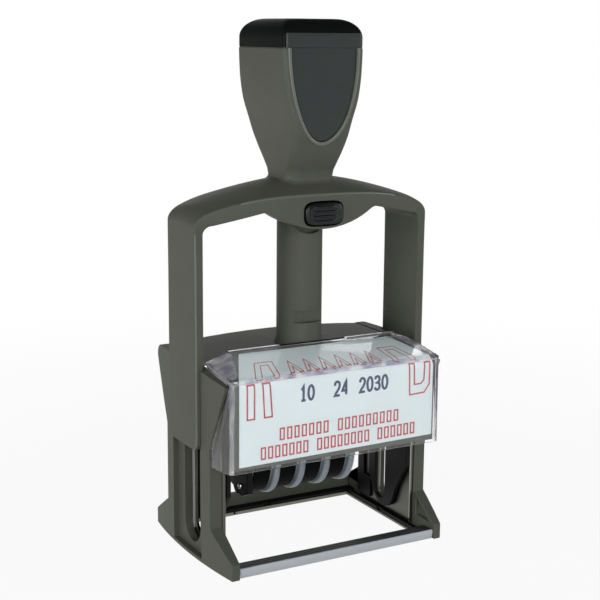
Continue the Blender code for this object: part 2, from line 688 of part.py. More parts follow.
def make_side_rail(name, side, parts, cutters):
    """Thin rail along a side of the opening, notched at its middle."""
    inner_x = GUIDE_OUTER_X - RAIL_THICKNESS
    x_low, x_high = span(side, inner_x, GUIDE_OUTER_X)
    top = BAR_BOTTOM_Z + RAIL_HEIGHT
    rail = box(
        name,
        (x_low, -BAR_BACK_Y + CLEARANCE, BAR_BOTTOM_Z),
        (x_high, REAR_RAIL_INNER_Y - CLEARANCE, top),
        parts,
    )
    notch_low, notch_high = span(side, inner_x - OVERRUN, inner_x + NOTCH_DEPTH / 2)
    notch = box(
        name + "_notch",
        (notch_low, -NOTCH_WIDTH / 2, BAR_BOTTOM_Z - OVERRUN),
        (notch_high, NOTCH_WIDTH / 2, top + OVERRUN),
        parts,
    )
    shape_with(rail, notch, "DIFFERENCE", cutters)
    return rail


def housing_slope_z(y):
    """Outer face of the housing's slope, under the window and the card."""
    return window_top(y, WINDOW_WALL + CARD_THICKNESS + 2 * CLEARANCE)


def housing_outline():
    """Side view of the housing's outer skin, from the front wall's foot round to the rear wall's."""
    front = -HOUSING_FRONT_Y
    foot = WINDOW_BOTTOM_Z + HOUSING_FRONT_LIP
    slope = WINDOW_RISE / (WINDOW_FRONT_Y - WINDOW_BACK_Y)
    crest = front + (HOUSING_TOP_Z - housing_slope_z(front)) / slope
    run = FLARE_REAR_Y - POST_HALF_DEPTH
    flare_height = CHEEK_HEIGHT - CHEEK_CORNER_RADIUS - FLARE_START_Z
    foot_share = (HOUSING_BOTTOM_REAR_Z - FLARE_START_Z) / flare_height
    corner = (FLARE_REAR_Y - CHEEK_CORNER_RADIUS, HOUSING_TOP_Z - CHEEK_CORNER_RADIUS)
    return [
        (front, foot),
        (front, (foot + housing_slope_z(front)) / 2),
        (front, housing_slope_z(front)),
        ((front + crest) / 2, housing_slope_z((front + crest) / 2)),
        (crest, HOUSING_TOP_Z),
        (0.0, HOUSING_TOP_Z),
        *arc(corner, CHEEK_CORNER_RADIUS, 90, 0, 5),
        (POST_HALF_DEPTH + run * foot_share, HOUSING_BOTTOM_REAR_Z),
    ]


def make_housing(parts, cutters):
    """Front wall, slope, crowned roof and rear wall in one folded shell."""
    half = bar_half_length()
    xs = [half * (2 * i / HOUSING_SEGMENTS - 1) for i in range(HOUSING_SEGMENTS + 1)]
    rows = []
    for y, z in housing_outline():
        height_share = max(0.0, (z - HOUSING_BOTTOM_REAR_Z) / (HOUSING_TOP_Z - HOUSING_BOTTOM_REAR_Z))
        back_share = min(1.0, max(0.0, (y + WINDOW_FRONT_Y) / (WINDOW_FRONT_Y - WINDOW_BACK_Y)))
        drop = HOUSING_CROWN * height_share * back_share ** 1.2
        rows.append([(x, y, z - drop * (x / half) ** 2) for x in xs])
    housing = folded_sheet("top_housing", rows, HOUSING_WALL, parts)
    hole = rod(
        "column_hole", "Z", (0, 0, 0), SPIGOT_RADIUS + CLEARANCE,
        HOUSING_TOP_Z - HOUSING_WALL - OVERRUN, HOUSING_TOP_Z + OVERRUN, parts,
    )
    shape_with(housing, hole, "DIFFERENCE", cutters)
    slot = box(
        "cassette_slot",
        (-LIP_HALF_WIDTH - CLEARANCE, POST_HALF_DEPTH, CASSETTE_BOTTOM_Z - 2 * CLEARANCE),
        (LIP_HALF_WIDTH + CLEARANCE, FLARE_REAR_Y + OVERRUN, CASSETTE_BOTTOM_Z + CASSETTE_HEIGHT + CLEARANCE),
        parts,
    )
    shape_with(housing, slot, "DIFFERENCE", cutters)
    return housing


def window_sides():
    """Side view of the window's outer skin in (y, z)."""
    seat = -POST_HALF_DEPTH - CLEARANCE
    flare = -FLARE_FRONT_Y - CLEARANCE
    back = -WINDOW_BACK_Y
    return [
        (-WINDOW_FRONT_Y, WINDOW_BOTTOM_Z),
        (seat, WINDOW_BOTTOM_Z),
        (seat, FLARE_START_Z),
        (flare, window_seat(flare) + CLEARANCE),
        (back, window_seat(back) + CLEARANCE),
        (back, window_top(back)),
        (-WINDOW_FRONT_Y, WINDOW_TOP_FRONT_Z),
    ]


def window_core(inset):
    """Side view of the window's hollow: open below and behind."""
    y_front = -WINDOW_FRONT_Y + inset
    y_back = -WINDOW_BACK_Y + OVERRUN
    return [
        (y_front, WINDOW_BOTTOM_Z - OVERRUN),
        (y_back, WINDOW_BOTTOM_Z - OVERRUN),
        (y_back, window_top(y_back, inset)),
        (y_front, window_top(y_front, inset)),
    ]


def window_end_cutter(name, side, inset, parts):
    """Wedge that bevels one end of the window's top."""
    outer = WINDOW_HALF_WIDTH - inset
    y_low, y_high = -WINDOW_FRONT_Y - OVERRUN / 2, -WINDOW_BACK_Y + 2 * OVERRUN
    rings = []
    for i in range(BEVEL_RINGS + 1):
        y = y_low + (y_high - y_low) * i / BEVEL_RINGS
        z = window_top(y, inset)
        width, drop = window_bevel(y)
        slope = drop / width
        top = z + OVERRUN * slope
        inner_x = outer - width - OVERRUN
        ring = [
            (side * (outer + OVERRUN), y, z - drop - OVERRUN * slope),
            (side * (outer + OVERRUN), y, top),
            (side * inner_x, y, top),
        ]
        rings.append(ring)
    return loft(name, rings, parts)


def window_block(name, outline, inset, parts, cutters):
    """Solid of the window's outer skin, or of its hollow, bevelled at both ends of its top."""
    half = WINDOW_HALF_WIDTH - inset
    block = slab(name, [outline], "X", -half, half, parts)
    front = -WINDOW_FRONT_Y + inset
    radius = WINDOW_CORNER_RADIUS - inset * WINDOW_CORNER_RADIUS / (2 * WINDOW_WALL)

    def on_front_edge(a, b):
        at_front = abs(a.y - front) < CLEARANCE and abs(b.y - front) < CLEARANCE
        upright = abs(a.x - b.x) < CLEARANCE
        above = min(a.z, b.z) > WINDOW_BOTTOM_Z + OVERRUN
        return at_front and (upright or above)

    bevel_edges(block, on_front_edge, radius, 3)
    for side, end in ((-1, "left"), (1, "right")):
        wedge = window_end_cutter(f"{name}_{end}_bevel", side, inset, parts)
        shape_with(block, wedge, "DIFFERENCE", cutters)
    return block


def make_window(parts, cutters):
    """Clear cover over the index card, with two tabs along its rear edge."""
    window = window_block("index_window", window_sides(), 0.0, parts, cutters)
    z = window_top(-WINDOW_BACK_Y - TAB_DEPTH)
    for side, end in ((-1, "left"), (1, "right")):
        x_low, x_high = span(side, TAB_INNER_X, TAB_INNER_X + TAB_WIDTH)
        tab = box(
            f"index_window_{end}_tab",
            (x_low, -WINDOW_BACK_Y - TAB_DEPTH, z - WINDOW_WALL / 2),
            (x_high, -WINDOW_BACK_Y + TAB_DEPTH / 4, z + TAB_HEIGHT),
            parts,
        )
        shape_with(window, tab, "UNION", cutters)
    core = window_block("index_window_hollow", window_core(WINDOW_WALL), WINDOW_WALL, parts, cutters)
    shape_with(window, core, "DIFFERENCE", cutters)
    return window


def make_card(parts):
    """Printed index card, folded over the top of the housing's front wall."""
    front = -WINDOW_FRONT_Y + WINDOW_WALL + CLEARANCE
    back = -WINDOW_BACK_Y - CARD_BACK_MARGIN
    depth = WINDOW_WALL + CLEARANCE
    fold = window_top(front, depth)
    half = CHEEK_INNER_X - CARD_SIDE_MARGIN
    back_half = WINDOW_HALF_WIDTH - WINDOW_BACK_BEVEL[0] - CARD_BACK_SIDE_MARGIN
    line = [
        (half, front, WINDOW_BOTTOM_Z + CARD_SILL),
        (half, front, fold),
        (back_half, back, window_top(back, depth)),
    ]
    rows = [[(-half, y, z), (0.0, y, z), (half, y, z)] for half, y, z in line]
    return folded_sheet("index_card", rows, CARD_THICKNESS, parts)


def make_cassette(parts, cutters):
    """Black tray that holds the pad face down, with side lips and a pull tab."""
    top = CASSETTE_BOTTOM_Z + CASSETTE_HEIGHT
    cassette = box(
        "pad_cassette",
        (-CASSETTE_HALF_WIDTH, -CASSETTE_FRONT_Y, CASSETTE_BOTTOM_Z),
        (CASSETTE_HALF_WIDTH, CASSETTE_REAR_Y, top),
        parts,
    )
    lips = box(
        "pad_cassette_lips",
        (-LIP_HALF_WIDTH, -CASSETTE_FRONT_Y + OVERRUN, CASSETTE_BOTTOM_Z),
        (LIP_HALF_WIDTH, CASSETTE_REAR_Y - OVERRUN, CASSETTE_BOTTOM_Z + LIP_HEIGHT),
        parts,
    )
    shape_with(cassette, lips, "UNION", cutters)
    tab = box(
        "pad_cassette_tab",
        (-CASSETTE_TAB_HALF_WIDTH, CASSETTE_REAR_Y - CASSETTE_WALL / 2, CASSETTE_BOTTOM_Z + LIP_HEIGHT),
        (
            CASSETTE_TAB_HALF_WIDTH,
            CASSETTE_REAR_Y + CASSETTE_TAB_LENGTH,
            CASSETTE_BOTTOM_Z + LIP_HEIGHT + CASSETTE_TAB_THICKNESS,
        ),
        parts,
    )
    shape_with(cassette, tab, "UNION", cutters)
    half = CASSETTE_HALF_WIDTH - CASSETTE_WALL
    hollow = box(
        "pad_cassette_hollow",
        (-half, -CASSETTE_FRONT_Y + CASSETTE_WALL, CASSETTE_BOTTOM_Z - OVERRUN),
        (half, CASSETTE_REAR_Y - CASSETTE_WALL, top - CASSETTE_WALL),
        parts,
    )
    shape_with(cassette, hollow, "DIFFERENCE", cutters)
    return cassette


def make_pad(parts):
    """Inked felt pad, flush with the tray's mouth."""
    gap = CASSETTE_WALL + CLEARANCE
    return box(
        "ink_pad",
        (-CASSETTE_HALF_WIDTH + gap, -CASSETTE_FRONT_Y + gap, CASSETTE_BOTTOM_Z),
        (CASSETTE_HALF_WIDTH - gap, CASSETTE_REAR_Y - gap, CASSETTE_BOTTOM_Z + CASSETTE_HEIGHT - gap),
        parts,
    )


def make_pad_rail(name, side, parts):
    """Ledge on a steel plate, on which the cassette's lip slides."""
    x_low, x_high = span(side, CASSETTE_HALF_WIDTH + LEDGE_SIDE_GAP, GUIDE_OUTER_X)
    top = CASSETTE_BOTTOM_Z - CLEARANCE
    return box(
        name,
        (x_low, -CASSETTE_FRONT_Y + LEDGE_FRONT_INSET, top - LEDGE_HEIGHT),
        (x_high, CASSETTE_REAR_Y - LEDGE_REAR_INSET, top),
        parts,
    )


def make_column(parts, cutters):
    """Guide column on the roof: bored for the spring, with a spigot below and two lock notches."""
    column = rod(
        "guide_column", "Z", (0, 0, 0), COLUMN_RADIUS, HOUSING_TOP_Z + CLEARANCE, COLUMN_TOP_Z,
        parts, COLUMN_ROUND_SEGMENTS,
    )
    spigot = rod(
        "column_spigot", "Z", (0, 0, 0), SPIGOT_RADIUS, SPIGOT_BOTTOM_Z, HOUSING_TOP_Z + OVERRUN / 2, parts,
    )
    shape_with(column, spigot, "UNION", cutters)
    bore = rod(
        "column_bore", "Z", (0, 0, 0), COLUMN_BORE_RADIUS, COLUMN_FLOOR_Z, COLUMN_TOP_Z + OVERRUN, parts,
    )
    shape_with(column, bore, "DIFFERENCE", cutters)
    heights = {
        "upper": (BUTTON_CENTRE_Z, UPPER_NOTCH_HEIGHT),
        "lower": (BUTTON_CENTRE_Z - PRESS_TRAVEL, LOWER_NOTCH_HEIGHT),
    }
    for end, (centre, height) in heights.items():
        low = centre - height + LOWER_NOTCH_HEIGHT / 2
        notch = box(
            f"column_{end}_notch",
            (-COLUMN_RADIUS, -COLUMN_RADIUS - OVERRUN, low),
            (COLUMN_RADIUS, -COLUMN_RADIUS + LOCK_NOTCH_DEPTH, low + height),
            parts,
        )
        shape_with(column, notch, "DIFFERENCE", cutters)
    return column


def make_column_nut(parts, cutters):
    """Hexagon nut that clamps the column's spigot under the roof."""
    bottom = NUT_TOP_Z - NUT_HEIGHT
    nut = rod("column_nut", "Z", (0, 0, 0), SPIGOT_RADIUS + NUT_RIM, bottom, NUT_TOP_Z, parts, segments=6)
    hole = rod(
        "column_nut_hole", "Z", (0, 0, 0), SPIGOT_RADIUS + CLEARANCE,
        bottom - OVERRUN, NUT_TOP_Z + OVERRUN, parts,
    )
    shape_with(nut, hole, "DIFFERENCE", cutters)
    return nut


def make_return_spring(parts):
    """Compression spring from the column's floor to the roof of the grip's cavity."""
    low = COLUMN_FLOOR_Z + SPRING_WIRE_RADIUS + CLEARANCE
    high = GRIP_CAVITY_TOP_Z - SPRING_WIRE_RADIUS - CLEARANCE
    curve = bpy.data.curves.new("return_spring", "CURVE")
    curve.dimensions = "3D"
    curve.bevel_depth = SPRING_WIRE_RADIUS
    curve.bevel_resolution = 1
    curve.use_fill_caps = True
    spline = curve.splines.new("POLY")
    count = SPRING_TURNS * SPRING_POINTS_PER_TURN
    spline.points.add(count)
    for i, point in enumerate(spline.points):
        angle = 2 * pi * i / SPRING_POINTS_PER_TURN
        height = low + (high - low) * i / count
        point.co = (SPRING_RADIUS * cos(angle), SPRING_RADIUS * sin(angle), height, 1)
    return place("return_spring", curve, parts)


def arch_half_depth(x):
    """Half depth of the arch in plan: it bulges towards its middle."""
    return LEG_HALF_DEPTH + ARCH_BULGE * (1 - (x / LEG_OUTER_X) ** 2)


def shoulder_drop(x):
    """How far the arch's top falls at its rounded shoulders."""
    run = abs(x) - (LEG_OUTER_X - ARCH_SHOULDER_RADIUS)
    if run <= 0:
        return 0.0
    return ARCH_SHOULDER_RADIUS - sqrt(max(0.0, ARCH_SHOULDER_RADIUS ** 2 - run ** 2))


def arch_stations():
    """Places along the arch at which its plan and its crown are drawn."""
    edge = LEG_OUTER_X - LEG_BOW
    shares = [i / 9 for i in range(-9, 10)]
    shoulder = LEG_OUTER_X - ARCH_SHOULDER_RADIUS
    ends = [shoulder + ARCH_SHOULDER_RADIUS * sin(radians(a)) for a in (20, 40, 60, 75)]
    return sorted({edge * s for s in shares} | set(ends) | {-x for x in ends})


def arch_plan():
    """Plan of the yoke: bulging front and rear, bowed leg faces."""
    edge = LEG_OUTER_X - LEG_BOW
    front = [(x, -arch_half_depth(x)) for x in arch_stations() if abs(x) <= edge]
    shares = [i / 4 for i in range(-3, 4)]
    leg = [(LEG_OUTER_X - LEG_BOW * s ** 2, arch_half_depth(edge) * s) for s in shares]
    rear = [(-x, -y) for x, y in front]
    return front + leg + rear + [(-x, -y) for x, y in leg]


def arch_crown():
    """Guide solid whose top is the arch's sloping and rounded upper surface."""
    wide = LEG_HALF_DEPTH + 2 * ARCH_BULGE
    bottom = LEG_BOTTOM_Z - OVERRUN
    rings = []
    for x in [-LEG_OUTER_X, *arch_stations(), LEG_OUTER_X]:
        edge_z = ARCH_FRONT_EDGE_Z - ARCH_FRONT_EDGE_DROP * (x / LEG_OUTER_X) ** 4 - shoulder_drop(x)
        top_z = ARCH_TOP_Z - ARCH_TOP_DROP * (x / LEG_OUTER_X) ** 2 - shoulder_drop(x)
        run = (top_z - edge_z) * ARCH_SLOPE_RUN_SHARE
        half = arch_half_depth(x)
        low_z = edge_z - (wide - half) * (top_z - edge_z) / run
        ring = [(x, -wide, bottom), (x, -wide, low_z), (x, run - half, top_z)]
        rings.append(ring + [(x, -y, z) for x, y, z in reversed(ring)])
    return rings


def arch_front_view():
    """Front view of the yoke in (x, z): legs, underside and the boss in the middle."""
    outer = LEG_OUTER_X + OVERRUN
    top = ARCH_TOP_Z + OVERRUN
    sagitta = ARCH_UNDERSIDE_Z - BOSS_BOTTOM_Z
    radius = (BOSS_HALF_WIDTH ** 2 + sagitta ** 2) / (2 * sagitta)
    shares = [i / 8 for i in range(-8, 9)]
    boss = []
    for share in shares:
        x = BOSS_HALF_WIDTH * share
        boss.append((x, BOSS_BOTTOM_Z + radius - sqrt(radius ** 2 - x ** 2)))
    fillet = (LEG_INNER_X - ARCH_FILLET, ARCH_UNDERSIDE_END_Z)
    corner = arc(fillet, ARCH_FILLET, 0, 90, 4)
    left = [(-x, z) for x, z in corner]
    bottom = LEG_BOTTOM_Z - OVERRUN
    return [
        (-outer, bottom),
        (-LEG_INNER_X, bottom),
        *left,
        *boss,
        *reversed(corner),
        (LEG_INNER_X, bottom),
        (outer, bottom),
        (outer, top),
        (-outer, top),
    ]


def arch_side_view():
    """Side view of the yoke in (y, z): legs that stay narrow where they enter the cheeks, deep arch."""
    wide = LEG_HALF_DEPTH + 2 * ARCH_BULGE
    narrow_top = CHEEK_HEIGHT + PRESS_TRAVEL + CLEARANCE
    top = ARCH_TOP_Z + 2 * OVERRUN
    inset = LEG_HALF_DEPTH - LEG_BOTTOM_RADIUS
    centre_z = LEG_BOTTOM_Z + LEG_BOTTOM_RADIUS
    front = arc((-inset, centre_z), LEG_BOTTOM_RADIUS, 270, 180, 5)
    right = [(-y, z) for y, z in reversed(front)]
    return [
        *front,
        (-LEG_HALF_DEPTH, narrow_top),
        (-wide, ARCH_UNDERSIDE_END_Z),
        (-wide, top),
        (wide, top),
        (wide, ARCH_UNDERSIDE_END_Z),
        (LEG_HALF_DEPTH, narrow_top),
        *right,
    ]


def make_yoke(parts, cutters):
    """Bow yoke that the grip presses down, with the pin bores and the button's pocket."""
    wide = LEG_HALF_DEPTH + 2 * ARCH_BULGE + OVERRUN
    outer = LEG_OUTER_X + 2 * OVERRUN
    yoke = slab("yoke", [arch_front_view()], "Y", -wide, wide, parts)
    plan = slab(
        "yoke_plan", [arch_plan()], "Z", LEG_BOTTOM_Z - 2 * OVERRUN, ARCH_TOP_Z + 2 * OVERRUN, parts
    )
    shape_with(yoke, plan, "INTERSECT", cutters)
    crown = loft("yoke_crown", arch_crown(), parts)
    shape_with(yoke, crown, "INTERSECT", cutters)
    side_view = slab("yoke_side_view", [arch_side_view()], "X", -outer, outer, parts)
    shape_with(yoke, side_view, "INTERSECT", cutters)
    bore = rod(
        "yoke_bore", "Z", (0, 0, 0), COLUMN_RADIUS + YOKE_BORE_CLEARANCE,
        BOSS_BOTTOM_Z - OVERRUN, ARCH_TOP_Z + OVERRUN, parts, COLUMN_ROUND_SEGMENTS,
    )
    shape_with(yoke, bore, "DIFFERENCE", cutters)
    for side, end in ((-1, "left"), (1, "right")):
        reach = span(side, LEG_INNER_X - OVERRUN, LEG_OUTER_X - PIN_BORE_FLOOR)
        hole = rod(
            f"yoke_{end}_pin_bore", "X", (0, 0, PIVOT_HEIGHT), PIN_RADIUS + CLEARANCE, *reach, parts
        )
        shape_with(yoke, hole, "DIFFERENCE", cutters)
    shape_with(yoke, make_button_pocket(parts), "DIFFERENCE", cutters)
    half_width, half_height = TONGUE_HALF_WIDTH + CLEARANCE, TONGUE_HALF_HEIGHT + CLEARANCE
    slot = box(
        "tongue_slot",
        (-half_width, -arch_half_depth(0), BUTTON_CENTRE_Z - half_height),
        (half_width, 0, BUTTON_CENTRE_Z + half_height),
        parts,
    )
    shape_with(yoke, slot, "DIFFERENCE", cutters)
    return yoke


def button_outline(margin=0.0):
    """Front view of the button in (x, z): straight ends, arched top and bottom."""
    half_width = BUTTON_HALF_WIDTH + margin
    half_height = BUTTON_HALF_HEIGHT + margin
    arched = []
    for i in range(9):
        share = 1 - i / 4
        arched.append((half_width * share, half_height * (1 - share ** 4 / 4)))
    points = arched + [(-x, -z) for x, z in arched]
    return [(x, BUTTON_CENTRE_Z + z) for x, z in points]


def button_front_y():
    """Front face of the lock button."""
    return -arch_half_depth(0) - BUTTON_PROUD


def make_button_pocket(parts):
    """Pocket in the arch that the button slides in."""
    back = button_front_y() + BUTTON_DEPTH + BUTTON_TRAVEL + CLEARANCE
    return slab(
        "button_pocket", [button_outline(BUTTON_POCKET_GAP)], "Y", button_front_y() - OVERRUN, back, parts
    )


def make_lock_button(parts, cutters):
    """Ribbed lock button with the tongue that enters the column's notch."""
    front = button_front_y()
    button = slab(
        "lock_button", [button_outline()], "Y", front + BUTTON_RIB_HEIGHT, front + BUTTON_DEPTH, parts
    )
    for i in range(4):
        z = BUTTON_CENTRE_Z + BUTTON_RIB_PITCH * (i - 3 / 2)
        half = BUTTON_HALF_WIDTH - BUTTON_RIB_PITCH
        rib = box(
            f"button_rib_{i + 1}",
            (-half, front, z - BUTTON_RIB_PITCH / 4),
            (half, front + BUTTON_DEPTH / 2, z + BUTTON_RIB_PITCH / 4),
            parts,
        )
        shape_with(button, rib, "UNION", cutters)
    tip = -COLUMN_RADIUS - CLEARANCE
    tongue = box(
        "button_tongue",
        (-TONGUE_HALF_WIDTH, front + BUTTON_DEPTH / 2, BUTTON_CENTRE_Z - TONGUE_HALF_HEIGHT),
        (TONGUE_HALF_WIDTH, tip, BUTTON_CENTRE_Z + TONGUE_HALF_HEIGHT),
        parts,
    )
    shape_with(button, tongue, "UNION", cutters)
    return button


def make_pivot_pin(name, side, parts):
    """Pin from the yoke's leg through the cheek to the die unit's ear."""
    reach = span(side, PIN_INNER_X, LEG_OUTER_X - PIN_BORE_FLOOR - CLEARANCE)
    return rod(name, "X", (0, 0, PIVOT_HEIGHT), PIN_RADIUS, *reach, parts)


def grip_shares():
    """Shares of the grip's height, of its growth in width and in depth from the neck, and of its corners."""
    return [
        (0.000, 0.073, 0.146, 0.36),
        (0.030, 0.000, 0.075, 0.34),
        (0.100, 0.022, 0.265, 0.26),
        (0.210, 0.125, 0.596, 0.18),
        (0.330, 0.241, 0.905, 0.14),
        (0.455, 0.395, 1.036, 0.11),
        (0.600, 0.704, 1.059, 0.10),
        (0.750, 0.884, 1.047, 0.09),
        (0.880, 0.961, 1.024, 0.09),
        (1.000, 1.000, 1.000, 0.09),
    ]


def grip_rings():
    """Rings of the grip's outer skin."""
    neck = GRIP_NECK_HALF_WIDTH
    rings = []
    for height_share, width_share, depth_share, corner_share in grip_shares():
        half_width = neck + (GRIP_TOP_HALF_WIDTH - neck) * width_share
        half_depth = neck + (GRIP_TOP_HALF_DEPTH - neck) * depth_share
        corner = GRIP_TOP_HALF_WIDTH * corner_share
        z = GRIP_BOTTOM_Z + GRIP_HEIGHT * height_share
        rings.append(rounded_rectangle(half_width, half_depth, corner, z))
    return rings


def cap_rings(bottom):
    """Rings of the cap's outer skin, drawn in round its upper edge."""
    levels = [(bottom, 0.0)]
    for i in range(7):
        angle = radians(90 * i / 6)
        inset = CAP_EDGE_RADIUS * (1 - cos(angle))
        levels.append((CAP_TOP_Z - CAP_EDGE_RADIUS * (1 - sin(angle)), inset))
    rings = []
    for z, inset in levels:
        rings.append(rounded_rectangle(
            GRIP_TOP_HALF_WIDTH - inset, GRIP_TOP_HALF_DEPTH - inset, CAP_CORNER_RADIUS + inset / 4, z
        ))
    return rings


def make_grip(parts, cutters):
    """Waisted grip with a cavity for the column and a seat for the front panel."""
    grip = loft("grip", grip_rings(), parts)
    cavity = rod(
        "grip_cavity", "Z", (0, 0, 0), GRIP_CAVITY_RADIUS,
        GRIP_BOTTOM_Z - OVERRUN, GRIP_CAVITY_TOP_Z, parts, COLUMN_ROUND_SEGMENTS,
    )
    shape_with(grip, cavity, "DIFFERENCE", cutters)
    seat = slab(
        "panel_seat", [panel_outline(CLEARANCE)], "Y",
        -GRIP_TOP_HALF_DEPTH - OVERRUN, panel_back_y() + CLEARANCE, parts,
    )
    shape_with(grip, seat, "DIFFERENCE", cutters)
    return grip


def panel_back_y():
    """Back face of the front panel."""
    return -GRIP_TOP_HALF_DEPTH + PANEL_THICKNESS


def panel_outline(margin=0.0):
    """Front view of the panel in (x, z): half an ellipse below, straight sides above."""
    half_width = PANEL_HALF_WIDTH + margin
    drop = PANEL_DROP + margin
    points = []
    for i in range(17):
        angle = pi + pi * i / 16
        points.append((half_width * cos(angle), GRIP_TOP_Z + drop * sin(angle)))
    top = PANEL_TOP_Z + margin
    return points + [(half_width, top), (-half_width, top)]


def make_panel(parts, cutters):
    """Black front panel: a tapering shield on the grip and a band across the cap."""
    panel = slab(
        "front_panel", [panel_outline()], "Y", -GRIP_TOP_HALF_DEPTH, panel_back_y(), parts
    )
    half = GRIP_TOP_HALF_WIDTH - CAP_CORNER_RADIUS / 2
    band = box(
        "panel_band",
        (-half, -GRIP_TOP_HALF_DEPTH, GRIP_TOP_Z + CLEARANCE),
        (half, panel_back_y(), PANEL_TOP_Z),
        parts,
    )
    shape_with(panel, band, "UNION", cutters)
    skin = loft("panel_skin", grip_rings()[:-1] + cap_rings(GRIP_TOP_Z), parts)
    shape_with(panel, skin, "INTERSECT", cutters)
    return panel


def make_cap(parts, cutters):
    """Black cap with rounded upper edges, hollow below and cut back for the panel."""
    bottom = GRIP_TOP_Z + CLEARANCE
    cap = loft("grip_cap", cap_rings(bottom), parts)
    hollow = box(
        "cap_hollow",
        (-GRIP_TOP_HALF_WIDTH + 2 * CAP_WALL, -GRIP_TOP_HALF_DEPTH + 2 * CAP_WALL, bottom - OVERRUN),
        (GRIP_TOP_HALF_WIDTH - 2 * CAP_WALL, GRIP_TOP_HALF_DEPTH - 2 * CAP_WALL, CAP_TOP_Z - CAP_WALL),
        parts,
    )
    shape_with(cap, hollow, "DIFFERENCE", cutters)
    half = GRIP_TOP_HALF_WIDTH - CAP_CORNER_RADIUS / 2 + CLEARANCE
    rebate = box(
        "cap_rebate",
        (-half, -GRIP_TOP_HALF_DEPTH - OVERRUN, bottom - OVERRUN),
        (half, panel_back_y() + CLEARANCE, PANEL_TOP_Z + CLEARANCE),
        parts,
    )
    shape_with(cap, rebate, "DIFFERENCE", cutters)
    return cap


def make_chassis(parts, cutters):
    """Die chassis: a platen with a window for the bands and an ear at each end."""
    chassis = box(
        "die_chassis",
        (-CHASSIS_HALF_WIDTH, -CHASSIS_HALF_DEPTH, CHASSIS_BOTTOM_Z),
        (CHASSIS_HALF_WIDTH, CHASSIS_HALF_DEPTH, CHASSIS_TOP_Z),
        parts,
    )
    for side, end in ((-1, "left"), (1, "right")):
        reach = span(side, CHASSIS_HALF_WIDTH - EAR_THICKNESS, CHASSIS_HALF_WIDTH)
        middle = (CHASSIS_BOTTOM_Z + CHASSIS_TOP_Z) / 2
        half = PIN_RADIUS + CLEARANCE + EAR_RIM
        outline = [(-half, middle), *arc((0, PIVOT_HEIGHT), half, 180, 360, 10), (half, middle)]
        ear = slab(f"{end}_ear", [outline], "X", *reach, parts)
        shape_with(chassis, ear, "UNION", cutters)
        bore = rod(
            f"{end}_ear_bore", "X", (0, 0, PIVOT_HEIGHT), PIN_RADIUS + CLEARANCE,
            reach[0] - OVERRUN, reach[1] + OVERRUN, parts,
        )
        shape_with(chassis, bore, "DIFFERENCE", cutters)
    shape_with(chassis, band_window("chassis_window", parts), "DIFFERENCE", cutters)
    return chassis


def band_window(name, parts):
    """Opening in the die's layers through which the bands reach the printing face."""
    left = FIRST_DRUM_LEFT_X - BRACKET_THICKNESS - 2 * CLEARANCE
    right = LAST_RIM_RIGHT_X + BRACKET_THICKNESS + 2 * CLEARANCE
    half = BRACKET_HEAD_HALF_DEPTH + BAND_WINDOW_GAP
    return box(
        name,
        (left, -half, CHASSIS_BOTTOM_Z - OVERRUN),
        (right, half, DIE_FACE_Z + OVERRUN),
        parts,
    )


def make_text_plate(parts, cutters):
    """Stiff backing that the rubber die is stuck to."""
    plate = box(
        "text_plate",
        (-TEXT_PLATE_HALF_WIDTH, -TEXT_PLATE_HALF_DEPTH, TEXT_PLATE_BOTTOM_Z),
        (TEXT_PLATE_HALF_WIDTH, TEXT_PLATE_HALF_DEPTH, TEXT_PLATE_BOTTOM_Z + TEXT_PLATE_THICKNESS),
        parts,
    )
    shape_with(plate, band_window("text_plate_window", parts), "DIFFERENCE", cutters)
    return plate


def make_rubber_die(parts, cutters):
    """Rubber die: raised border and plain rules round the window for the date."""
    floor = DIE_FACE_Z - DIE_RELIEF
    die = box(
        "rubber_die",
        (-TEXT_PLATE_HALF_WIDTH, -TEXT_PLATE_HALF_DEPTH, RUBBER_BOTTOM_Z),
        (TEXT_PLATE_HALF_WIDTH, TEXT_PLATE_HALF_DEPTH, DIE_FACE_Z),
        parts,
    )
    inner_x = TEXT_PLATE_HALF_WIDTH - DIE_BORDER_WIDTH
    inner_y = TEXT_PLATE_HALF_DEPTH - DIE_BORDER_WIDTH
    field = [(-inner_x, -inner_y), (inner_x, -inner_y), (inner_x, inner_y), (-inner_x, inner_y)]
    outlines = [field]
    for y in (-inner_y * 3 / 4, -inner_y / 2, inner_y / 2, inner_y * 3 / 4):
        low_y, high_y = y - DIE_RULE_WIDTH / 2, y + DIE_RULE_WIDTH / 2
        half = inner_x - DIE_RULE_INSET
        outlines.append([(-half, low_y), (half, low_y), (half, high_y), (-half, high_y)])
    relief = slab("die_relief", outlines, "Z", floor, DIE_FACE_Z + OVERRUN, parts)
    shape_with(die, relief, "DIFFERENCE", cutters)
    shape_with(die, band_window("rubber_window", parts), "DIFFERENCE", cutters)
    return die


def loop_outline(wheel_radius, head_radius, head_z, wheel_segments=20, head_segments=6):
    """Taut loop round a wheel below and a small head above, in (y, z)."""
    distance = head_z - WHEEL_CENTRE_Z
    lean = 90 - acos((wheel_radius - head_radius) / distance) * 180 / pi
    wheel = arc((0, WHEEL_CENTRE_Z), wheel_radius, 180 - lean, 360 + lean, wheel_segments)
    head = arc((0, head_z), head_radius, lean, 180 - lean, head_segments)
    return wheel + head


def anvil_centre_z():
    """Centre of the anvil's rounded top, under the bands."""
    return DIE_FACE_Z - BAND_THICKNESS - CLEARANCE - ANVIL_RADIUS


def rim_right_x(i):
    """Right face of a date wheel's rim."""
    return LAST_RIM_RIGHT_X - (WHEEL_COUNT - 1 - i) * WHEEL_PITCH


def drum_left_x(i):
    """Left face of a date wheel's drum."""
    return rim_right_x(i) - WHEEL_PITCH + CLEARANCE


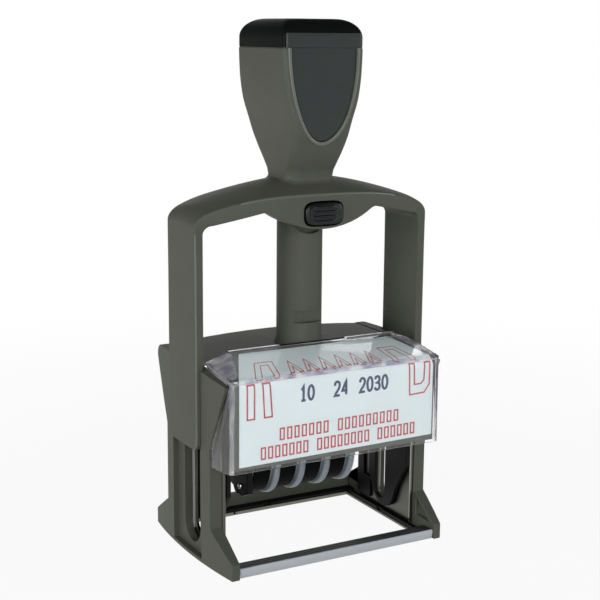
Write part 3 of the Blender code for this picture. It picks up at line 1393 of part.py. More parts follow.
def make_band(i, parts):
    """Rubber date band, taut round a wheel's drum and over the anvil."""
    outer = loop_outline(
        DRUM_RADIUS + CLEARANCE + BAND_THICKNESS, ANVIL_RADIUS + CLEARANCE + BAND_THICKNESS, anvil_centre_z()
    )
    inner = loop_outline(DRUM_RADIUS + CLEARANCE, ANVIL_RADIUS + CLEARANCE, anvil_centre_z())
    low = drum_left_x(i)
    high = rim_right_x(i) - RIM_WIDTH - CLEARANCE
    return slab(f"date_band_{i + 1}", [outer, inner], "X", low, high, parts)


def make_date_wheel(i, parts, cutters):
    """Date wheel: a drum for the band and a wider toothed rim for the finger."""
    right = rim_right_x(i)
    rim_left = right - RIM_WIDTH
    drum = rod(
        f"date_wheel_{i + 1}", "X", (0, 0, WHEEL_CENTRE_Z), DRUM_RADIUS, drum_left_x(i),
        rim_left + RIM_WIDTH / 2, parts,
    )
    outline = []
    for k in range(2 * RIM_TEETH):
        angle = pi * k / RIM_TEETH
        radius = RIM_RADIUS - RIM_TOOTH_DEPTH * (k % 2)
        outline.append((radius * cos(angle), WHEEL_CENTRE_Z + radius * sin(angle)))
    rim = slab(f"rim_{i + 1}", [outline], "X", rim_left, right, parts)
    shape_with(drum, rim, "UNION", cutters)
    bore = rod(
        f"wheel_bore_{i + 1}", "X", (0, 0, WHEEL_CENTRE_Z), WHEEL_BORE_RADIUS,
        drum_left_x(i) - OVERRUN, right + OVERRUN, parts,
    )
    shape_with(drum, bore, "DIFFERENCE", cutters)
    return drum


def make_band_bracket(name, low, high, parts):
    """Black end plate that carries the wheels' axle and the anvil."""
    top = CHASSIS_TOP_Z - CLEARANCE
    half = BRACKET_HEAD_HALF_DEPTH
    toe = arc((0, WHEEL_CENTRE_Z), DRUM_RADIUS - BRACKET_TOE_INSET, 180, 360, 14)
    outline = [(-half, top), *toe, (half, top)]
    hole = arc((0, WHEEL_CENTRE_Z), AXLE_RADIUS + CLEARANCE, 0, 330, 11)
    return slab(name, [outline, hole], "X", low, high, parts)


def make_anvil(parts):
    """Bridge under the bands that presses the date flat."""
    crown = arc((0, anvil_centre_z()), ANVIL_RADIUS, 0, 180, 8)
    outline = [(-ANVIL_RADIUS, PIVOT_HEIGHT), (ANVIL_RADIUS, PIVOT_HEIGHT), *crown]
    return slab(
        "band_anvil", [outline], "X", FIRST_DRUM_LEFT_X + CLEARANCE, LAST_RIM_RIGHT_X, parts
    )


def make_wheel_axle(parts):
    """Steel rod that the date wheels turn on."""
    return rod(
        "wheel_axle", "X", (0, 0, WHEEL_CENTRE_Z), AXLE_RADIUS,
        FIRST_DRUM_LEFT_X - BRACKET_THICKNESS - AXLE_END,
        LAST_RIM_RIGHT_X + BRACKET_THICKNESS + CLEARANCE + AXLE_END,
        parts, 16,
    )


def new_joint(name, place_at, collection, parent=None):
    """Empty on a joint's axis, which the moving pieces are parented to."""
    joint = bpy.data.objects.new(name, None)
    collection.objects.link(joint)
    joint.empty_display_size = COLUMN_RADIUS
    joint.parent = parent
    parent_at = parent["place"] if parent else (0, 0, 0)
    joint.location = Vector(place_at) - Vector(parent_at)
    joint["place"] = place_at
    return joint


def carry(joint, pieces):
    """Parent pieces to a joint, with their origins on it."""
    for piece in pieces:
        if piece.type == "MESH":
            move_origin(piece, joint["place"])
        piece.location = (0, 0, 0)
        piece.parent = joint


def build_base(parts, cutters):
    """Pieces that stand still on the desk."""
    body = finish(BODY_PAINT, 0.42)
    black = finish(BLACK_PLASTIC, 0.45)
    steel = finish(STEEL, 0.3, 1.0)
    pieces = []
    for side, end in ((-1, "left"), (1, "right")):
        pieces += [
            (make_cheek(f"{end}_cheek", side, parts, cutters), body),
            (make_steel_plate(f"{end}_steel_plate", side, parts), steel),
            (make_cam_guide(f"{end}_cam_guide", side, parts), black),
            (make_side_rail(f"{end}_side_rail", side, parts, cutters), steel),
            (make_pad_rail(f"{end}_pad_rail", side, parts), black),
        ]
    pieces += [
        (make_front_bar(parts), finish(ALUMINIUM, 0.28, 1.0)),
        (make_rear_beam(parts), body),
        (make_rear_rail(parts, cutters), steel),
        (make_housing(parts, cutters), body),
        (make_card(parts), finish(CARD_WHITE, 0.6)),
        (make_column(parts, cutters), body),
        (make_column_nut(parts, cutters), steel),
        (make_return_spring(parts), steel),
    ]
    for piece, surface in pieces:
        colour_piece(piece, surface)


def build_cover(parts, cutters):
    """Index window, which pulls off forwards."""
    window = make_window(parts, cutters)
    colour_piece(window, finish(CLEAR_PLASTIC, 0.08))
    return [window]


def build_cassette(parts, cutters):
    """Ink pad in its cassette, which draws out backwards."""
    cassette = make_cassette(parts, cutters)
    pad = make_pad(parts)
    colour_piece(cassette, finish(BLACK_PLASTIC, 0.45))
    colour_piece(pad, finish(PAD_INK, 0.85))
    return [cassette, pad]


def build_yoke(parts, cutters):
    """Yoke, grip, cap, panel and pivot pins, which press down together."""
    body = finish(BODY_PAINT, 0.42)
    black = finish(BLACK_PLASTIC, 0.4)
    pieces = [
        (make_yoke(parts, cutters), body),
        (make_grip(parts, cutters), body),
        (make_cap(parts, cutters), black),
        (make_panel(parts, cutters), black),
        (make_pivot_pin("left_pivot_pin", -1, parts), finish(STEEL, 0.3, 1.0)),
        (make_pivot_pin("right_pivot_pin", 1, parts), finish(STEEL, 0.3, 1.0)),
    ]
    for piece, surface in pieces:
        colour_piece(piece, surface)
    return [piece for piece, surface in pieces]


def build_die_unit(parts, cutters):
    """Everything that turns over with the die, except the wheels."""
    black = finish(BLACK_PLASTIC, 0.4)
    left = FIRST_DRUM_LEFT_X
    right = LAST_RIM_RIGHT_X + CLEARANCE
    pieces = [
        (make_chassis(parts, cutters), black),
        (make_text_plate(parts, cutters), finish(WHEEL_GREY, 0.5)),
        (make_rubber_die(parts, cutters), finish(RUBBER, 0.7)),
        (make_anvil(parts), black),
        (make_band_bracket("left_band_bracket", left - BRACKET_THICKNESS, left, parts), black),
        (make_band_bracket("right_band_bracket", right, right + BRACKET_THICKNESS, parts), black),
        (make_wheel_axle(parts), finish(STEEL, 0.3, 1.0)),
    ]
    for i in range(WHEEL_COUNT):
        pieces.append((make_band(i, parts), finish(FLEXIBLE_BAND, 0.6)))
    for piece, surface in pieces:
        colour_piece(piece, surface)
    return [piece for piece, surface in pieces]


def main():
    clear_scene()
    parts = new_collection("self_inking_date_stamp")
    cutters = new_collection("stamp_cutters")
    build_base(parts, cutters)
    cover = new_joint("cover_slide", (0, -WINDOW_FRONT_Y, WINDOW_BOTTOM_Z), parts)
    carry(cover, build_cover(parts, cutters))
    drawer = new_joint("cassette_slide", (0, 0, CASSETTE_BOTTOM_Z), parts)
    carry(drawer, build_cassette(parts, cutters))
    press = new_joint("handle_press", (0, 0, PIVOT_HEIGHT), parts)
    carry(press, build_yoke(parts, cutters))
    lock = new_joint("lock_press", (0, button_front_y(), BUTTON_CENTRE_Z), parts, press)
    button = make_lock_button(parts, cutters)
    colour_piece(button, finish(BLACK_PLASTIC, 0.15))
    carry(lock, [button])
    flip = new_joint("die_flip", (0, 0, PIVOT_HEIGHT), parts, press)
    carry(flip, build_die_unit(parts, cutters))
    for i in range(WHEEL_COUNT):
        spin = new_joint(f"wheel_spin_{i + 1}", (0, 0, WHEEL_CENTRE_Z), parts, flip)
        wheel = make_date_wheel(i, parts, cutters)
        colour_piece(wheel, finish(WHEEL_GREY, 0.4))
        carry(spin, [wheel])
    for piece in parts.objects:
        if piece.type == "MESH":
            smooth(piece)


main()
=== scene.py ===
"""Looks of a self-inking date stamp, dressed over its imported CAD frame.

Lengths are millimetres until a mesh is made. X runs along the printing plate, Y to the back, Z up.
"""

from math import cos, pi, radians, sin, sqrt

import bmesh
import bpy
from mathutils import Matrix, Vector


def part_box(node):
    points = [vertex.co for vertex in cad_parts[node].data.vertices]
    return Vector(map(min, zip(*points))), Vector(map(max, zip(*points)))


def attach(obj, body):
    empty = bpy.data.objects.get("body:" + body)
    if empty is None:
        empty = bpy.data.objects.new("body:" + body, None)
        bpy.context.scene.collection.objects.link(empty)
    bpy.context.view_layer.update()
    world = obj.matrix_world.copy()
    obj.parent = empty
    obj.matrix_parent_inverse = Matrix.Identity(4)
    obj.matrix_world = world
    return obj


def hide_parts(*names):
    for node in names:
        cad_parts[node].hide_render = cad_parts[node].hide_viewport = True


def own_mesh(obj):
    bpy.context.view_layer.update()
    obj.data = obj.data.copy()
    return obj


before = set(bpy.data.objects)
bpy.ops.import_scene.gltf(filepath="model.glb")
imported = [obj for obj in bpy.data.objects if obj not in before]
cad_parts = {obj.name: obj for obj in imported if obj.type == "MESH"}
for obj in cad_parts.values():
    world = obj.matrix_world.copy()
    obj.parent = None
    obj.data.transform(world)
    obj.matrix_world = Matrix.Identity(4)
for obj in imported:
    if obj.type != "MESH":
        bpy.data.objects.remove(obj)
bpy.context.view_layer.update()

MM = 0.001

# Camera
EYE = (-202.94, -364.67, 163.17)
VIEW_AZIMUTH, VIEW_PITCH, VIEW_ROLL = 29.14, 11.52, 0.5
LENS, SENSOR = 79.46, 36.0

# Yoke
LEG_INNER_X, LEG_OUTER_X, LEG_BOW = 38.5, 41.4, 0.15
LEG_HALF_DEPTH, LEG_BOTTOM_Z, LEG_BOTTOM_RADIUS, LEG_TOE_RADIUS = 10.1, 36.0, 3.0, 0.7
LEG_TURN_Z = 90.0
FILLET_RADIUS, FILLET_Z = 2.8, 102.95
SHOULDER_RADIUS, SHOULDER_LIFT = 4.1, 2.62
ARCH_TOP_Z, ARCH_TOP_DROP, ARCH_TOP_POWER = 118.75, 9.08, 1.66
ARCH_EDGE_FALL, ARCH_EDGE_DROP, ARCH_EDGE_POWER, CROWN_POWER = 4.67, 6.04, 3.06, 1.85
ARCH_BULGE, ARCH_UNDERSIDE_Z, ARCH_UNDERSIDE_SLOPE = 5.3, 109.3, 0.212
BOSS_BOTTOM_Z, BOSS_HALF_WIDTH, BOSS_BLEND = 103.2, 18.9, 1.2
# The boss stands before this share of the arch's half depth; behind it the arch keeps its least thickness
BOSS_BACK_SHARE, ARCH_LEAST_THICKNESS = 0.6, 6.5
EDGE_RADIUS, INNER_EDGE_RADIUS, YOKE_BORE_RADIUS, BORE_MOUTH = 0.5, 0.35, 7.6, 0.5
# Places round the section, counted from its crest to either side, where an edge carries a painted highlight, and how
# far from the middle of the arch
HIGHLIGHT_STEPS, HIGHLIGHT_REACH = range(13, 16), 27.0
LEG_STEP_DEPTH, LEG_STEP_REACH, LEG_STEP_TOP_Z, LEG_STEP_BOTTOM_Z = 0.28, 12.0, 46.4, 35.0

# Grip, cap and panel
GRIP_BOTTOM_Z, GRIP_TOP_Z, CAP_TOP_Z = 118.15, 157.9, 166.6
NECK_HALF_WIDTH, TOP_HALF_WIDTH, TOP_HALF_DEPTH = 8.5, 13.9, 14.7
FOOT_FLARE_RADIUS, FOOT_RINGS = 1.5, 8
CAP_EDGE_RADIUS, CAP_CORNER_RADIUS, CAP_GAP, REAR_SWELL = 5.6, 1.6, 0.1, 1.7
PANEL_HALF_WIDTH, PANEL_DROP, PANEL_TOP_Z = 11.1, 27.9, 162.4
PANEL_BLANK_FRONT_Y, PANEL_SKIN_BOTTOM_Z = -16.5, 128.0
PANEL_SINK, PANEL_GAP, BAND_THICKNESS, SHIELD_THICKNESS = 0.3, 0.22, 1.2, 2.9
SEAT_CHAMFER, REBATE_GAP, SPIGOT_INSET, CAVITY_TOP_Z = 0.15, 0.2, 0.2, 150.0
RIM_WIDTH_ON_GRIP, RIM_PROUD = 1.0, 0.12

# Lock button, its pocket in the arch and its tongue
BUTTON_CENTRE_Z, BUTTON_HALF_WIDTH, BUTTON_HALF_HEIGHT, BUTTON_BACK_Y = 108.0, 6.6, 3.5, -13.1
BUTTON_PILLOW = [(1.0, -15.5), (0.985, -15.85), (0.95, -16.1), (0.9, -16.22)]  # share of the outline, Y
RIB_PITCH, RIB_HALF_HEIGHT, RIB_PROUD, RIB_ROOT_Y = 1.45, 0.42, 0.55, -15.9
POCKET_GAP, POCKET_FRONT_Y, POCKET_BACK_Y, POCKET_FLARE, POCKET_FLARE_DEPTH = 0.42, -16.0, -11.0, 0.25, 0.75
TONGUE_HALF_WIDTH, TONGUE_HALF_HEIGHT, TONGUE_ROOT_Y, TONGUE_TIP_Y, TONGUE_GAP = 3.0, 1.0, -14.0, -7.6, 0.3

# Guide column and its lock notches
COLUMN_RADIUS, COLUMN_BORE_RADIUS, COLUMN_STEM_RADIUS = 7.3, 4.4, 5.0
COLUMN_STEM_Z, COLUMN_BASE_Z, COLUMN_BORE_Z, COLUMN_TOP_Z = 59.8, 64.55, 66.5, 112.0
NOTCH_FRONT_Y, NOTCH_BACK_Y, NOTCH_REACH = -9.0, -5.2, 9.0
LOWER_NOTCH_Z, UPPER_NOTCH_Z = (72.0, 76.0), (102.8, 110.0)
NOTCH_DIP_HALF_WIDTH, NOTCH_DIP = 4.6, 2.1

# Window and card
WINDOW_HALF_WIDTH, WINDOW_FRONT_Y, WINDOW_BACK_Y = 37.4, -26.5, -8.5
WINDOW_BOTTOM_Z, WINDOW_TOP_FRONT_Z, WINDOW_RISE, WINDOW_WALL = 32.8, 61.4, 5.0, 1.0
WINDOW_EDGE_RADIUS, HOLLOW_EDGE_RADIUS, END_SPREAD, END_SPREAD_TOP_Z = 1.5, 0.8, 2.0, 61.0
WINDOW_SEAT_Y, WINDOW_SEAT_TOP_Z, WINDOW_FLARE_Y, WINDOW_LIP = -16.3, 38.6, -25.3, 1.3
TAB_NEAR_X, TAB_FAR_X, TAB_DEPTH = 12.0, 30.0, 1.6
BROAD_FACE = 0.965  # cosine of the largest tilt of a face that counts as broad
CARD_FRONT_Y, CARD_BOTTOM_Z, CARD_BACK_Y = -25.2, 34.4, -9.7
CARD_HALF_WIDTH, CARD_BACK_HALF_WIDTH, CARD_THICKNESS, CARD_SHIFT = 34.6, 27.0, 0.3, 0.5
CARD_SKEW, CARD_FOLD_RADIUS, CARD_FRONT_STEPS = 0.9, 2.4, 12
BACKING_HALF_WIDTH, BACKING_BOTTOM_Z, BACKING_TOP_Z, BACKING_BACK_Y = 35.9, 33.3, 59.4, -24.4

# Print, on places across the card and up from its lower edge
DIGIT_PITCH, DIGIT_WIDTH, DIGIT_HEIGHT, DIGIT_STROKE, DATE_LINE = 2.75, 1.85, 4.5, 0.8, 18.2
BAR_STROKE, TOP_BAR_STROKE, CHEVRON_STROKE, BAR_LINE = 0.5, 0.3, 0.28, 14.6
CHEVRONS, CHEVRON_START, CHEVRON_PITCH = 6, -16.2, 5.6
BOX_WIDTH, BOX_HEIGHT = 1.3, 3.5
INK_LOW, INK_HIGH = 0.01, 0.05

# Date wheels
WHEEL_CENTRE_Z, RIM_RADIUS, DRUM_RADIUS, RIM_WIDTH = 28.0, 12.0, 10.0, 2.0
RIM_TEETH, RIM_TOOTH_DEPTH, WHEEL_BORE_RADIUS = 104, 0.42, 1.8

# Return spring
SPRING_BOTTOM_Z, SPRING_TOP_Z, SPRING_RADIUS, WIRE_RADIUS = 66.9, 149.7, 3.4, 0.5
SPRING_TURNS, SPRING_STEPS_A_TURN, WIRE_SIDES, PRESS_TRAVEL = 12, 28, 10, 34.0

# Front bar
BAR_FRONT_Y, BAR_BACK_Y, BAR_TOP_Z, BAR_BOTTOM_Z, BAR_HALF_LENGTH = -28.2, -22.9, 3.3, 0.04, 35.1
BAR_NOSE_RADIUS, BAR_BOW, BAR_LAND, BAR_GROOVE, INLAY_RIBS = 0.5, 0.75, 0.65, 0.7, 4


# ---------------------------------------------------------------- meshes

def make_object(name, vertices, faces):
    """Object from points in millimetres, with its faces turned outwards."""
    mesh = bpy.data.meshes.new(name)
    bm = bmesh.new()
    made = [bm.verts.new(Vector(v) * MM) for v in vertices]
    for face in faces:
        bm.faces.new([made[i] for i in face])
    bmesh.ops.recalc_face_normals(bm, faces=bm.faces)
    bm.to_mesh(mesh)
    bm.free()
    obj = bpy.data.objects.new(name, mesh)
    bpy.context.scene.collection.objects.link(obj)
    return obj


def loft(name, rings, caps=True, closed=False):
    """Skin over rings of the same number of points, capped at both ends or joined into a hoop."""
    count = len(rings[0])
    vertices = [point for ring in rings for point in ring]
    faces = []
    last = len(rings) if closed else len(rings) - 1
    for k in range(last):
        a, b = k * count, (k + 1) % len(rings) * count
        for i in range(count):
            j = (i + 1) % count
            faces.append((a + i, a + j, b + j, b + i))
    if caps and not closed:
        faces.append(tuple(range(count)))
        faces.append(tuple(range((len(rings) - 1) * count, len(rings) * count)))
    return make_object(name, vertices, faces)


def on_axis(axis, along, a, b):
    """Point with one coordinate along an axis and the other two in order."""
    return {"X": (along, a, b), "Y": (a, along, b), "Z": (a, b, along)}[axis]


def slab(name, outline, axis, low, high, flare=0.0, flare_depth=0.0):
    """Outline pushed along an axis; a flare widens its low end, for a chamfered cut."""
    centre = [sum(p[i] for p in outline) / len(outline) for i in (0, 1)]
    levels = [(low, flare), (low + flare_depth, 0.0)] if flare else [(low, 0.0)]
    rings = []
    for along, grow in levels + [(high, 0.0)]:
        ring = []
        for a, b in outline:
            run = sqrt((a - centre[0]) ** 2 + (b - centre[1]) ** 2)
            share = 1 + grow / run
            ring.append(on_axis(
                axis, along, centre[0] + (a - centre[0]) * share, centre[1] + (b - centre[1]) * share
            ))
        rings.append(ring)
    return loft(name, rings)


def rectangle(low, high):
    """Outline of a rectangle between two opposite corners."""
    return [low, (high[0], low[1]), high, (low[0], high[1])]


def turned(name, axis, centre, profile, segments=64):
    """Round piece: profile is (place along the axis, radius)."""
    rings = []
    for along, radius in profile:
        ring = []
        for i in range(segments):
            angle = 2 * pi * i / segments
            ring.append(on_axis(axis, along, centre[0] + radius * cos(angle), centre[1] + radius * sin(angle)))
        rings.append(ring)
    return loft(name, rings)


def cut(obj, tool, operation="DIFFERENCE"):
    """Combine an object with a tool, and keep the result in the object's own mesh."""
    boolean = obj.modifiers.new("cut", "BOOLEAN")
    boolean.operation = operation
    boolean.solver = "MANIFOLD"
    boolean.object = tool
    settle(obj)
    bpy.data.objects.remove(tool, do_unlink=True)


def settle(obj):
    """Turn an object's modifiers into its mesh."""
    bpy.context.view_layer.update()
    graph = bpy.context.evaluated_depsgraph_get()
    mesh = bpy.data.meshes.new_from_object(obj.evaluated_get(graph))
    obj.modifiers.clear()
    obj.data = mesh


def soften(obj, width, segments=3, angle=30):
    """Round the edges that turn by more than an angle."""
    weld = obj.modifiers.new("weld", "WELD")
    weld.merge_threshold = 0.002 * MM
    flatten = obj.modifiers.new("flatten", "DECIMATE")
    flatten.decimate_type = "DISSOLVE"
    flatten.angle_limit = radians(0.5)
    bevel = obj.modifiers.new("edges", "BEVEL")
    bevel.width = width * MM
    bevel.segments = segments
    bevel.limit_method = "ANGLE"
    bevel.angle_limit = radians(angle)
    obj.modifiers.new("normals", "WEIGHTED_NORMAL").keep_sharp = True


def smooth(obj, angle=35):
    """Smooth shading, with a crease where faces turn by more than an angle."""
    obj.data.shade_smooth()
    obj.data.set_sharp_from_angle(angle=radians(angle))


def dress(obj, body, finish, slot, *nodes):
    """Hang a piece on its body, give it its finish and hide the CAD nodes it stands for."""
    if not any(obj.data.materials):
        obj.data.materials.clear()
        obj.data.materials.append(finish)
    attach(obj, body)
    if nodes:
        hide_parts(*nodes)
    return obj


def arc(centre, radius, start, end, segments=8):
    """Points on an arc, its angles in degrees."""
    points = []
    for i in range(segments + 1):
        angle = radians(start + (end - start) * i / segments)
        points.append((centre[0] + radius * cos(angle), centre[1] + radius * sin(angle)))
    return points


def blend_corner(start, corner, end, segments=4):
    """Points of a soft corner between two edges."""
    points = []
    for i in range(segments + 1):
        t = i / segments
        points.append(tuple(
            (1 - t) ** 2 * a + 2 * t * (1 - t) * b + t ** 2 * c for a, b, c in zip(start, corner, end)
        ))
    return points


def rounded_ring(half_width, half_depth, radius, z, segments=10):
    """Rectangle with round corners at a height."""
    ring = []
    for quarter, (sx, sy) in enumerate(((1, 1), (-1, 1), (-1, -1), (1, -1))):
        centre = (sx * (half_width - radius), sy * (half_depth - radius))
        ring += [(x, y, z) for x, y in arc(centre, radius, 90 * quarter, 90 * quarter + 90, segments)]
    return ring


def ease(t):
    """Smooth step from 0 to 1."""
    t = min(1.0, max(0.0, t))
    return t * t * (3 - 2 * t)


# ---------------------------------------------------------------- finishes

def linear(hex_colour):
    """Linear colour of an sRGB hex value."""
    channels = [int(hex_colour[i:i + 2], 16) / 255 for i in (1, 3, 5)]
    return [c / 12.92 if c <= 0.04045 else ((c + 0.055) / 1.055) ** 2.4 for c in channels] + [1.0]


def add(tree, kind, settings=None, sockets=None):
    """Add a node with its settings; a socket takes a value, or another node's output to link."""
    made = tree.nodes.new(kind)
    for key, value in (settings or {}).items():
        setattr(made, key, value)
    for key, value in (sockets or {}).items():
        if isinstance(value, bpy.types.NodeSocket):
            tree.links.new(value, made.inputs[key])
        else:
            made.inputs[key].default_value = value
    return made


def new_finish(name, sockets):
    """Material with one principled shader, its constant values set on the shader's own sockets."""
    material = bpy.data.materials.new(name)
    material.use_nodes = True
    shader = material.node_tree.nodes["Principled BSDF"]
    for key, value in sockets.items():
        shader.inputs[key].default_value = value
    return material, material.node_tree, shader


def surface(name, dark, light, patch, grain, gloss, relief, stretch=(1, 1, 1), **constants):
    """Finish whose colour drifts in patches, with a grain in its height and its gloss.

    patch and grain are sizes in millimetres, gloss the lowest and highest roughness, relief the grain's depth
    in millimetres, and stretch draws the pattern out along an axis.
    """
    sockets = {key.replace("_", " "): value for key, value in constants.items()}
    material, tree, shader = new_finish(name, sockets)
    place = add(tree, "ShaderNodeTexCoord").outputs["Object"]
    drawn = add(tree, "ShaderNodeMapping", sockets={"Vector": place, "Scale": [1 / s for s in stretch]})
    drift = add(tree, "ShaderNodeTexNoise", sockets={
        "Vector": drawn.outputs[0], "Scale": 1 / (patch * MM), "Detail": 3.0, "Roughness": 0.6,
    })
    fine = add(tree, "ShaderNodeTexNoise", sockets={
        "Vector": drawn.outputs[0], "Scale": 1 / (grain * MM), "Detail": 2.0, "Roughness": 0.55,
    })
    share = add(tree, "ShaderNodeMath", {"operation": "MULTIPLY_ADD"}, {
        0: fine.outputs["Fac"], 1: 0.5, 2: 0.0,
    })
    both = add(tree, "ShaderNodeMath", {"operation": "MULTIPLY_ADD", "use_clamp": True}, {
        0: drift.outputs["Fac"], 1: 0.5, 2: share.outputs[0],
    })
    colour = add(tree, "ShaderNodeMix", {"data_type": "RGBA"}, {
        "Factor": both.outputs[0], 6: linear(dark), 7: linear(light),
    })
    rough = add(tree, "ShaderNodeMapRange", sockets={
        "Value": fine.outputs["Fac"], "To Min": gloss[0], "To Max": gloss[1],
    })
    bump = add(tree, "ShaderNodeBump", sockets={
        "Height": fine.outputs["Fac"], "Strength": 1.0, "Distance": relief * MM,
    })
    tree.links.new(colour.outputs[2], shader.inputs["Base Color"])
    tree.links.new(rough.outputs[0], shader.inputs["Roughness"])
    tree.links.new(bump.outputs[0], shader.inputs["Normal"])
    return material


# ABS moulded in a spark-eroded tool: an even satin skin, a little mottled. The grain of 0.2 mm is drawn at 0.5.
SATIN_ABS = surface(
    "satin moulded ABS, grey-green", "#484b42", "#585b50", 9.0, 0.5, (0.5, 0.62), 0.012, Specular_IOR_Level=0.3
)
# The same skin on the edges, glossier and lighter: the lighter colour is a painted highlight along them
EDGE_HIGHLIGHT_ABS = surface(
    "moulded ABS, painted edge highlight", "#595d54", "#6b6f66", 5.0, 0.4, (0.26, 0.36), 0.006, Specular_IOR_Level=0.5
)
# The same plastic in black, as moulded: satin, with a fine grain; and a lighter copy of the black, its lightness
# painted light
BLACK_ABS = surface(
    "satin moulded ABS, black", "#0c0e0e", "#151817", 6.0, 0.45, (0.36, 0.5), 0.012, Specular_IOR_Level=0.05
)
BLACK_ABS_LIGHTENED = surface(
    "satin moulded ABS, black lightened by painted light", "#1e2423", "#2a302f", 6.0, 0.45, (0.36, 0.5), 0.014, Specular_IOR_Level=0.4
)
# Glass-filled nylon for the cams and the die chassis: black, half matt
BLACK_NYLON = surface(
    "glass-filled nylon, black", "#070808", "#101111", 5.0, 0.6, (0.38, 0.55), 0.01, Specular_IOR_Level=0.12
)
# Acetal button, polished in the tool: a dark, sharp gloss
BLACK_ACETAL = surface(
    "polished acetal, black", "#07090b", "#0e1114", 4.0, 0.9, (0.2, 0.3), 0.003, Specular_IOR_Level=0.3
)
# Acetal date wheels: pale and slightly waxy
PALE_ACETAL = surface("moulded acetal, pale grey", "#858f98", "#a2abb2", 5.0, 0.6, (0.34, 0.46), 0.006)
# Zinc-plated steel side plates, rolled along their length
PLATED_STEEL = surface(
    "zinc-plated steel, rolled", "#53534d", "#686862", 8.0, 0.5, (0.26, 0.42), 0.004, (1, 1, 14), Metallic=1.0
)
# Bright drawn steel for pins, axle and spring
DRAWN_STEEL = surface(
    "bright drawn steel", "#a8abae", "#c4c7ca", 3.0, 0.4, (0.2, 0.3), 0.002, (8, 1, 1), Metallic=1.0
)
# Aluminium extrusion, brushed along its length and anodised clear
BAR_ALUMINIUM = surface(
    "brushed anodised aluminium", "#a9b0b8", "#d3d8de", 6.0, 0.3, (0.24, 0.38), 0.003, (24, 1, 1),
    Specular_IOR_Level=0.3,
)
# Sheared edge of the plated steel, bare steel made light in colour: the lightness is a painted glint along it
STEEL_EDGE_GLINT = surface(
    "plated steel, bare edge with painted glint", "#9b9c98", "#bdbeba", 3.0, 0.4, (0.25, 0.35), 0.002, (1, 1, 10), Metallic=0.35
)
# The same kind of edge, in a duller, darker grey
DULL_EDGE = surface(
    "plated steel, dulled edge", "#77756a", "#98958a", 2.5, 0.4, (0.35, 0.5), 0.004, (6, 1, 1), Metallic=0.35
)
# Coated card: smooth, white with a cool cast
COATED_CARD = surface("coated card", "#e3eef1", "#ebf4f6", 12.0, 0.7, (0.45, 0.55), 0.003)
# Screen-printed inks on the card
BLUE_INK = surface("printed ink, blue", "#12265c", "#1a3069", 3.0, 0.5, (0.4, 0.5), 0.002)
RED_INK = surface("printed ink, red", "#b8252f", "#c93a42", 3.0, 0.5, (0.4, 0.5), 0.002)
# Wool felt soaked with ink
INKED_FELT = surface("inked felt", "#2a0c14", "#3f1822", 3.0, 0.5, (0.8, 0.95), 0.08)
# Vulcanised rubber: red for the die, black for the date bands
DIE_RUBBER = surface("vulcanised rubber, red", "#5e3431", "#74433e", 6.0, 0.5, (0.55, 0.7), 0.01)
BAND_RUBBER = surface(
    "vulcanised rubber, black", "#040404", "#0a0909", 5.0, 0.5, (0.6, 0.75), 0.01, Specular_IOR_Level=0.05
)


def acrylic(name, tint, roughness, ripple, relief, clarity=1.0, painted_streak=0.0):
    """Clear cast acrylic; ripple is the waviness left by the mould, in millimetres, and the streak size, in
    millimetres, is that of violet and white bands painted into its colour as painted reflections.
    """
    material, tree, shader = new_finish(name, {
        "Base Color": linear(tint), "Roughness": roughness, "IOR": 1.49, "Transmission Weight": clarity,
    })
    place = add(tree, "ShaderNodeTexCoord").outputs["Object"]
    waves = add(tree, "ShaderNodeTexNoise", sockets={"Vector": place, "Scale": 1 / (ripple * MM), "Detail": 2.0})
    bump = add(tree, "ShaderNodeBump", sockets={
        "Height": waves.outputs["Fac"], "Strength": 1.0, "Distance": relief * MM,
    })
    tree.links.new(bump.outputs[0], shader.inputs["Normal"])
    # Violet and white bands painted into the colour: painted reflections along the edges
    if painted_streak:
        drawn = add(tree, "ShaderNodeMapping", sockets={"Vector": place, "Scale": (1.0, 2.4, 0.45)})
        bands = add(tree, "ShaderNodeTexNoise", sockets={
            "Vector": drawn.outputs[0], "Scale": 1 / (painted_streak * MM), "Detail": 2.0, "Roughness": 0.4,
        })
        sharp = add(tree, "ShaderNodeMapRange", {"interpolation_type": "SMOOTHSTEP"}, {
            "Value": bands.outputs["Fac"], "From Min": 0.42, "From Max": 0.58,
        })
        mixed = add(tree, "ShaderNodeMix", {"data_type": "RGBA"}, {
            "Factor": sharp.outputs[0], 6: linear("#c3bed2"), 7: linear("#ffffff"),
        })
        tree.links.new(mixed.outputs[2], shader.inputs["Base Color"])
    return material


# The broad faces are clear. The rounded edges have ripples that scatter light, and a violet tint with violet and
# white streaks that are painted reflections.
CLEAR_ACRYLIC = acrylic("clear acrylic, faces", "#fcfefe", 0.015, 16.0, 0.01)
EDGE_ACRYLIC = acrylic("clear acrylic, edges", "#ece6f6", 0.06, 1.8, 0.25, 0.8, 4.0)


# ---------------------------------------------------------------- yoke

def arch_half_depth(x):
    """Half depth of the arch in plan."""
    return LEG_HALF_DEPTH + ARCH_BULGE * max(0.0, 1 - (x / LEG_OUTER_X) ** 2)


def arch_top(x):
    """Crest height of the arch."""
    return ARCH_TOP_Z - ARCH_TOP_DROP * abs(x / LEG_OUTER_X) ** ARCH_TOP_POWER


def edge_fall(x):
    """How far the arch's front edge lies below its crest."""
    share = abs(x / LEG_OUTER_X)
    return ARCH_EDGE_FALL - ARCH_TOP_DROP * share ** ARCH_TOP_POWER + ARCH_EDGE_DROP * share ** ARCH_EDGE_POWER


def crown_fall(y, half, fall):
    """How far the yoke's outer face lies below its crest at a depth."""
    return fall * (abs(y) / half) ** CROWN_POWER


def underside_line(x):
    """Underside of the arch behind the boss."""
    return ARCH_UNDERSIDE_Z - ARCH_UNDERSIDE_SLOPE * (abs(x) - BOSS_HALF_WIDTH)


